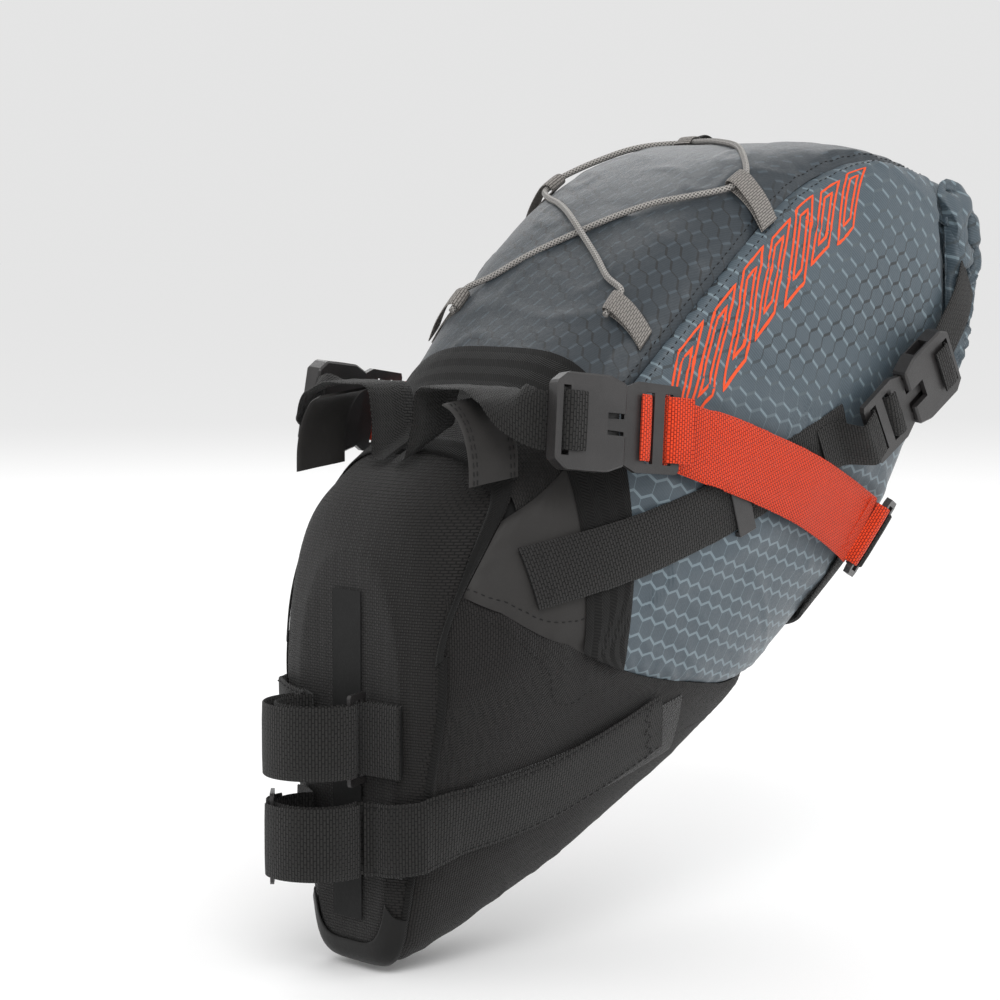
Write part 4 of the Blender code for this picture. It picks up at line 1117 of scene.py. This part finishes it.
def post_webbing():
    turn = (OUTER_R - INNER_R) / 2
    for name, hand, z, ring_at, leave_at in (
            ("lower_post_strap", -1, LOWER_Z, LOWER_RING + RING_REACH - 360, -77),
            ("upper_post_strap", 1, UPPER_Z, UPPER_RING - RING_REACH + 360, 77)):
        path = sewn_end(hand, z) + arc(INNER_R, hand * 58, ring_at, z, 16)
        path += around_ring(ring_at, hand, INNER_R, turn, z)
        path += arc(OUTER_R, ring_at, leave_at, z, 14)
        line_webbing(f"{name}_webbing", path, UP, WEB, "bag", WEBBING, "black_webbing", (name,))
    ring_at = LOWER_RING - RING_REACH
    path = sewn_end(1, LOWER_Z) + arc(INNER_R, 58, ring_at, LOWER_Z, 6)
    path += around_ring(ring_at, 1, INNER_R, turn, LOWER_Z)
    path += arc(OUTER_R, ring_at, ring_at - 26, LOWER_Z, 4)
    line_webbing("lower_anchor_webbing", path, UP, WEB, "bag", WEBBING, "black_webbing",
                 ("lower_anchor",))
    bar = arc((INNER_R + OUTER_R) / 2, UPPER_RING + 17.5, UPPER_RING + 17.5, UPPER_Z, 1)[0]
    seat = clear_strip(Vector((19, -33, UPPER_Z)), UP, WEB / 2, 4.3)
    way = (bar - seat).normalized()
    across = Vector((-way.y, way.x, 0))
    path = [seat - across * 0.95, seat.lerp(bar, 0.55) - across * 1.3]
    path += [bar - across * math.cos(f) * 2.2 + way * math.sin(f) * 2.6
             for f in (math.pi * i / 6 for i in range(7))]
    path += [seat.lerp(bar, 0.55) + across * 1.3, seat + across * 0.95]
    line_webbing("upper_anchor_webbing", path, UP, WEB, "bag", WEBBING, "black_webbing",
                 ("upper_anchor",))


def tails():
    for name, hand, path, z_start in (
            ("lower_tail", -1, [(34, -154), (80, -143), (136, -120)], LOWER_Z),
            ("upper_tail", 1, [(34, -118), (58, -117), (84, -116)], UPPER_Z)):
        line = arc(OUTER_R, hand * 68, hand * 68, z_start, 1)[:1]
        line += [Vector((15.5, hand * 28.5, z_start + 0.8)), Vector((22, hand * 40, z_start + 3))]
        line += [on_side(x, z, hand, 5.1) for x, z in path]
        line = resample(line, 6.0)
        ups = []
        for i, p in enumerate(line):
            way = way_at(line, i)
            normal = TREE.find_nearest(p)[1] * OUT_SIGN
            up = normal.cross(way).normalized()
            up = up if up.z > 0 else -up
            ups.append(UP.lerp(up, smooth((i - 2) / 6)).normalized())
            if i > 1:
                line[i] = clear_strip(p, ups[i], WEB / 2, 4.9 + max(0, 30 - p.x) * 0.12)
        mids, normals = line_webbing(f"{name}_webbing", line, ups, WEB, f"{name}_end", WEBBING,
                                     "black_webbing", (name,))
        if normals[-1][0].y * hand < 0:
            normals = [[-n for n in row] for row in normals]
        for col in (0, -1):
            edge_stitches(f"{name}_edge_{col + 1}", [[r[0].lerp(r[-1], 0.04), r[2],
                          r[-1].lerp(r[0], 0.04)] for r in mids], [[r[0]] * 3 for r in normals],
                          col, f"{name}_end", "black_webbing", THREAD)
        bar_tack(f"{name}_tack", mids, normals, len(mids) - 8, f"{name}_end", "black_webbing",
                 THREAD, (0, -1), 3)


def buckle_webs():
    shape = ((33, 0, 7.4), (28, 0, 7.2), (24.2, 0, 6.6), (22, 0, 5.4), (21.8, 0, 3.4),
             (19.5, 0, 1.5), (17.5, 0, 1.3), (15.0, 0, 1.5), (13.4, 0, 3.4), (13.0, 0, 5.4),
             (11.0, 0, 6.6), (8.0, 0, 6.6))
    for hand, tag in SIDES:
        release = release_frame(hand)
        cinch = side_frame(*CINCH_SPOT, hand, 6.8)
        for kind, place, half, mat, slot in (
                ("release", release, WEB / 2, ORANGE, "orange_webbing"),
                ("cinch", cinch, NARROW_WEB / 2, WEBBING, "black_webbing")):
            node = f"{kind}_buckle_{tag}_web"
            line = [place @ Vector(p) for p in shape]
            ups = [place.to_3x3() @ Vector((0, 1, 0))] * len(line)
            if kind == "cinch":
                lead = Vector((-0.39, 0, 0.92)) * (1 if ups[0].z > 0 else -1)
                line = [on_side(209, -10, hand, 6.3), on_side(219, -6, hand, 6.7)] + line
                ups = [lead, lead.lerp(ups[0], 0.4)] + ups
            line_webbing(f"{kind}_loop_{tag}", line, ups, 2 * half - 3.0, f"{kind}_{tag}", mat,
                         slot, (node,), 1.0)
        line = [cinch @ Vector(p) for p in ((-20, 0, 9.3), (-27, 0, 9.3), (-28.75, 0, 7.6),
                                            (-28.75, 0, 0.6), (-30.5, 0, -1.3), (-36, 0, -1.9))]
        line += [Vector((301, hand * 86.5, 51)), Vector((309, hand * 83.5, 64))]
        up = cinch.to_3x3() @ Vector((0, 1, 0))
        line_webbing(f"roll_webbing_{tag}", line, up, NARROW_WEB - 4, "bag", WEBBING,
                     "black_webbing", (f"roll_web_{tag}",))


def ring_folds():
    """The orange strap folded round its ring, and the sewn tab behind the ring."""
    fold = ((-4.4, -1.2), (-3.6, 0.6), (-3.0, 2.4), (-1.6, 3.6), (0.0, 3.6), (1.2, 2.6),
            (1.25, 0.6), (0.7, -0.6), (-1.0, -0.95), (-2.6, -1.5), (-4.4, -2.6), (-12, -2.65))
    tab = ((8.95, 0.2), (8.2, 3.0), (6.8, 3.6), (5.2, 3.0), (4.85, 1.4), (5.2, -0.4),
           (6.8, -1.0), (8.0, -3.6))
    for hand, tag in SIDES:
        place = side_frame(249.5, -45.3, 253, -46.5, hand, 9.9)
        up = place.to_3x3() @ Vector((0, 1, 0))
        line_webbing(f"orange_fold_{tag}", [place @ Vector((x, 0, z)) for x, z in fold], up,
                     29.0, "bag", ORANGE, "orange_webbing", (), 1.0)
        line = [on_side(263, -50, hand, 5.2)] + [place @ Vector((x, 0, z)) for x, z in tab]
        line.append(on_side(260.5, -49, hand, 4.0))
        line_webbing(f"ring_tab_{tag}", line, up, 27.0, "bag", WEBBING, "black_webbing", (), 1.0)


def rail_webbing():
    top = 14 + 5 + WEB_T / 2 + 1.0
    for hand, tag in SIDES:
        socket = release_frame(hand)
        down = socket.to_3x3() @ Vector((0, -hand, 0))
        bends = [(socket @ Vector(p), 0.0) for p in ((-20, 0, 9.3), (-27, 0, 9.3),
                 (-28.75, 0, 7.6), (-28.75, 0, 0.6), (-30.5, 0, -1.3))]
        bends += [(socket @ Vector((-36, 0, -1.9)), 0.0), (Vector((50, hand * 66, 13.5)), 0.4),
                  (Vector((50.5, hand * 55, 18.2)), 0.85)]
        bends += [(Vector((52, hand * y, top)), 1.0) for y in (44, 34, 26, 19)]
        bends += [(Vector((52, hand * 15.0, top - 3)), 1.0), (Vector((52, hand * 13.5, 11)), 1.0),
                  (Vector((52, hand * 12.6, 4.5)), 1.2), (on_top(52, hand * 9.5, 6.6), 2.0),
                  (on_top(52, hand * 3, 5.6), 2.0)]
        slope = (on_top(55, hand * 6, 0) - on_top(49, hand * 6, 0)).normalized()
        ups = [(down * (1 - turn) + Vector((turn, 0, 0))).normalized() if turn <= 1 else
               Vector((1, 0, 0)).lerp(slope, turn - 1) for _, turn in bends]
        line_webbing(f"rail_webbing_{tag}", [p for p, _ in bends], ups, WEB - 6, "bag", WEBBING,
                     "black_webbing", (f"rail_strap_{tag}",))
        shape = resample([Vector((0, y, z)) for y, z in ((55, -17), (54.5, -6), (51, 5),
                                                         (45, 12.6), (39, 15.4))], 1.5)
        mids, normals = [], []
        for q in shape:
            row = []
            for k in range(14):
                x = 34 + 2 * k
                ripple = 0.5 * noise.noise(Vector((x * 0.1, q.y * 0.1, hand)))
                row.append(Vector((x, hand * (q.y + 0.5 + ripple), q.z + 0.4 + (x - 44) * 0.12)))
            mids.append(row)
        for i, row in enumerate(mids):
            way = (mids[min(i + 1, len(mids) - 1)][0] - mids[max(i - 1, 0)][0]).normalized()
            face = way.cross(Vector((1, 0, 0))).normalized()
            normals.append([face if face.y * hand > 0 else -face] * len(row))
        piece = strap_mesh(f"rail_tab_{tag}", mids, normals, 1.1, RUBBERY, 0.4)
        keep(piece, "bag", "coated_grey", (f"rail_flap_{tag}",))
        for col in (1, 2, -3, -2):
            edge_stitches(f"rail_tab_stitch_{tag}_{col + 3}", mids, normals, col, "bag",
                          "black_webbing", THREAD)


for hand, tag in SIDES:
    side_webbing(hand, tag)
post_webbing()
tails()
buckle_webs()
ring_folds()
rail_webbing()


# ---------------------------------------------------------------- bungee and its loops
LOOPS = {"front": (124.0, 64.0), "middle": (188.0, 72.0)}
LOOP_REACH = 17.0
CORD_UP = 5.4


def top_way(x, y):
    return (on_top(x + 3, y, 0) - on_top(x - 3, y, 0)).normalized()


def loop_webbing(hand, tag):
    for which, (x, y) in LOOPS.items():
        path = [on_top(x, hand * (y - t), 3.1) for t in (0, 5, 10, 15)]
        middle = on_top(x, hand * (y - LOOP_REACH), CORD_UP)
        up = on_top(x, hand * (y - LOOP_REACH), CORD_UP + 1) - middle
        wide = top_way(x, hand * (y - LOOP_REACH / 2))
        inward = up.cross(wide).normalized()
        if inward.y * hand > 0:
            inward = -inward
        for step in range(1, 6):
            f = math.pi * step / 6
            path.append(middle + inward * 2.5 * math.sin(f) - up * 2.5 * math.cos(f))
        path += [on_top(x, hand * (y - t), 4.7 + 3.4 * t / 15) for t in (15, 10, 5, 0)]
        line_webbing(f"loop_{which}_{tag}", path, wide, 10.0, "bag", GREY_WEB,
                     "grey_webbing", (f"cord_loop_{which}_{tag}",), 1.0, 0.9)


def inside_loop(which, hand):
    x, y = LOOPS[which]
    wide = top_way(x, hand * (y - LOOP_REACH / 2))
    middle = on_top(x, hand * (y - LOOP_REACH), CORD_UP)
    return [middle - wide * 7, middle, middle + wide * 7]


def across_top(start, end, count, lift=0.0):
    out = []
    for i in range(1, count):
        t = i / count
        x, y = (start[k] + (end[k] - start[k]) * t for k in (0, 1))
        out.append(on_top(x, y, 3.9 + lift * math.sin(math.pi * t) ** 8))
    return out


def tube(name, points, radius, mat, slot, nodes):
    """Round cord with its own flat coordinates."""
    line = resample(points, 2.0)
    turns = 12
    verts, uvs, run = [], [], 0.0
    normal = Vector((0, 0, 1))
    for i, p in enumerate(line):
        way = way_at(line, i)
        normal = (normal - way * normal.dot(way)).normalized()
        side = way.cross(normal)
        if i:
            run += (p - line[i - 1]).length
        for k in range(turns):
            f = 2 * math.pi * k / turns
            verts.append(p + (normal * math.cos(f) + side * math.sin(f)) * radius)
            uvs.append((run, 2 * math.pi * radius * k / turns))
    faces = ring_faces(len(line) - 1, turns)
    faces += [tuple(reversed(range(turns))), tuple((len(line) - 1) * turns + k for k in range(turns))]
    return keep(mesh_piece(name, verts, faces, mat, uvs, 60), "bag", slot, nodes)


def bungee():
    front_r, front_l = inside_loop("front", 1), inside_loop("front", -1)
    mid_r, mid_l = inside_loop("middle", 1), inside_loop("middle", -1)
    hook = [on_top(210, -36, 3.9), on_top(222, -12, 3.9), on_top(232, 10, 3.9),
            on_top(236, 20, 3.9)]
    left = front_r + across_top(front_r[2].xy, mid_l[0].xy, 8) + mid_l + hook
    tube("bungee_left_cord", left, 1.4, CORD, "grey_cord", ("bungee_left",))
    right = front_l + across_top(front_l[2].xy, mid_r[0].xy, 8, 4.0) + mid_r \
        + across_top(mid_r[2].xy, (277, 4), 6)
    tube("bungee_right_cord", right, 1.4, CORD, "grey_cord", ("bungee_right",))
    for tag, x, y in (("left", 236, 20), ("right", 277, 4)):
        line = [on_top(x - 5, y, 3.2), on_top(x - 2, y, 5.9), on_top(x + 2, y, 5.9),
                on_top(x + 5, y, 3.2)]
        line_webbing(f"cord_tab_{tag}", line, (on_top(x, y + 3, 4) - on_top(x, y - 3, 4))
                     .normalized(), 9.0, "bag", GREY_WEB, "grey_webbing", (), 1.0, 0.9)


for hand, tag in SIDES:
    loop_webbing(hand, tag)
bungee()
line = [on_top(250, 43, 5.3), on_top(256, 43.5, 7.5), on_top(262, 44, 12.5),
        on_top(268, 44.5, 13.8), on_top(274, 45, 11), on_top(279, 45.5, 6.3)]
wide = (on_top(264, 52, 3) - on_top(264, 36, 3)).normalized()
line_webbing("light_webbing", line, wide, 14, "bag", WEBBING, "black_webbing", ("light_loop",))


# ---------------------------------------------------------------- seam stitching
def seam_stitches():
    for hand, tag in ANGLE_SIDES:
        for name, offset, pieces in (("upper", -0.05, "top"), ("lower", 0.05, tag)):
            tree = tree_of(body_pieces[pieces])
            line, out = [], []
            for k in range(160):
                s = 4.9 + 4.0 * k / 159
                a = hand * (seam_at(s) + offset)
                p, n = on_cloth(tree, cloth_form(s, a) + outward(s, a) * 5, 0.02)
                line.append(p)
                out.append(n)
            keep(stitch_line(f"seam_{name}_{tag}", line, out, THREAD, 2.2, 3.2, 0.4), "bag",
                 "black_webbing")
        for name, offset, key in (("grip", -0.05, "grip_" + tag), ("hull", 0.06, "hull")):
            tree = tree_of(body_pieces[key])
            line, out = [], []
            for k in range(120):
                s = 2.1 + 2.35 * k / 119
                a = hand * (hull_edge(s) + offset)
                p, n = on_cloth(tree, surface(s, a) + outward(s, a) * 5, 0.02)
                line.append(p)
                out.append(n)
            keep(stitch_line(f"seam_{name}_{tag}", line, out, THREAD, 2.4, 3.4, 0.45), "bag",
                 "black_webbing")


seam_stitches()


# ---------------------------------------------------------------- hardware that stays
for name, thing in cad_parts.items():
    if name.endswith(("_socket", "_prong")) or name.startswith(("keeper", "tail_ring")) \
            or name in ("lower_ring", "upper_ring"):
        for place in thing.material_slots:
            place.material = ACETAL
        bevel = thing.modifiers.new("bevel", "BEVEL")
        bevel.width = 0.35 * MM
        bevel.segments = 2
        bevel.limit_method = "ANGLE"
    if name == "post_pad":
        thing.material_slots[0].material = GRIP


# ---------------------------------------------------------------- stage, light, camera
CAMERA_AIM = Vector((0.100542, 0.0, -0.030211))
CAMERA_DISTANCE = 1.25
CAMERA_TURN = math.radians(-42)
CAMERA_RISE = math.radians(5)
CAMERA_LENS = 105.21


def floor():
    data = bpy.data.meshes.new("floor")
    z = cad_box[0].z - 0.002
    data.from_pydata([(-40, -40, z), (40, -40, z), (40, 40, z), (-40, 40, z)], [], [(0, 1, 2, 3)])
    look = Look("floor", 0.9, specular=0.0)
    look.shader.inputs["Emission Color"].default_value = (1, 1, 1, 1)
    look.shader.inputs["Emission Strength"].default_value = 0.04
    data.materials.append(look.finish((0.95, 0.95, 0.95, 1)))
    thing = bpy.data.objects.new("floor", data)
    bpy.context.scene.collection.objects.link(thing)


def lamp(name, place, size, energy):
    light = bpy.data.lights.new(name, "AREA")
    light.energy = energy
    light.size = size
    thing = bpy.data.objects.new(name, light)
    bpy.context.scene.collection.objects.link(thing)
    thing.location = place
    way = Vector((0.14, 0, -0.04)) - Vector(place)
    thing.rotation_euler = way.to_track_quat("-Z", "Y").to_euler()


def camera():
    a, e = CAMERA_TURN, CAMERA_RISE
    ahead = -Vector((math.sin(a) * math.cos(e), -math.cos(a) * math.cos(e), math.sin(e)))
    right = Vector((math.cos(a), math.sin(a), 0))
    above = right.cross(ahead)
    data = bpy.data.cameras.new("camera")
    data.sensor_width = 36
    data.lens = CAMERA_LENS
    data.clip_end = 50
    thing = bpy.data.objects.new("camera", data)
    bpy.context.scene.collection.objects.link(thing)
    turn = Matrix((right, above, -ahead)).transposed().to_4x4()
    thing.matrix_world = Matrix.Translation(CAMERA_AIM - ahead * CAMERA_DISTANCE) @ turn
    bpy.context.scene.camera = thing


floor()
lamp("key", (-1.3, -1.7, 1.9), 1.6, 38)
lamp("fill", (1.6, -1.4, 0.9), 1.8, 8)
lamp("back", (1.2, 1.6, 1.7), 1.5, 15)
camera()
world = bpy.context.scene.world or bpy.data.worlds.new("world")
bpy.context.scene.world = world
world.use_nodes = True
world.node_tree.nodes["Background"].inputs[0].default_value = (1, 1, 1, 1)
world.node_tree.nodes["Background"].inputs[1].default_value = 0.78
bpy.context.scene.view_settings.view_transform = "Standard"
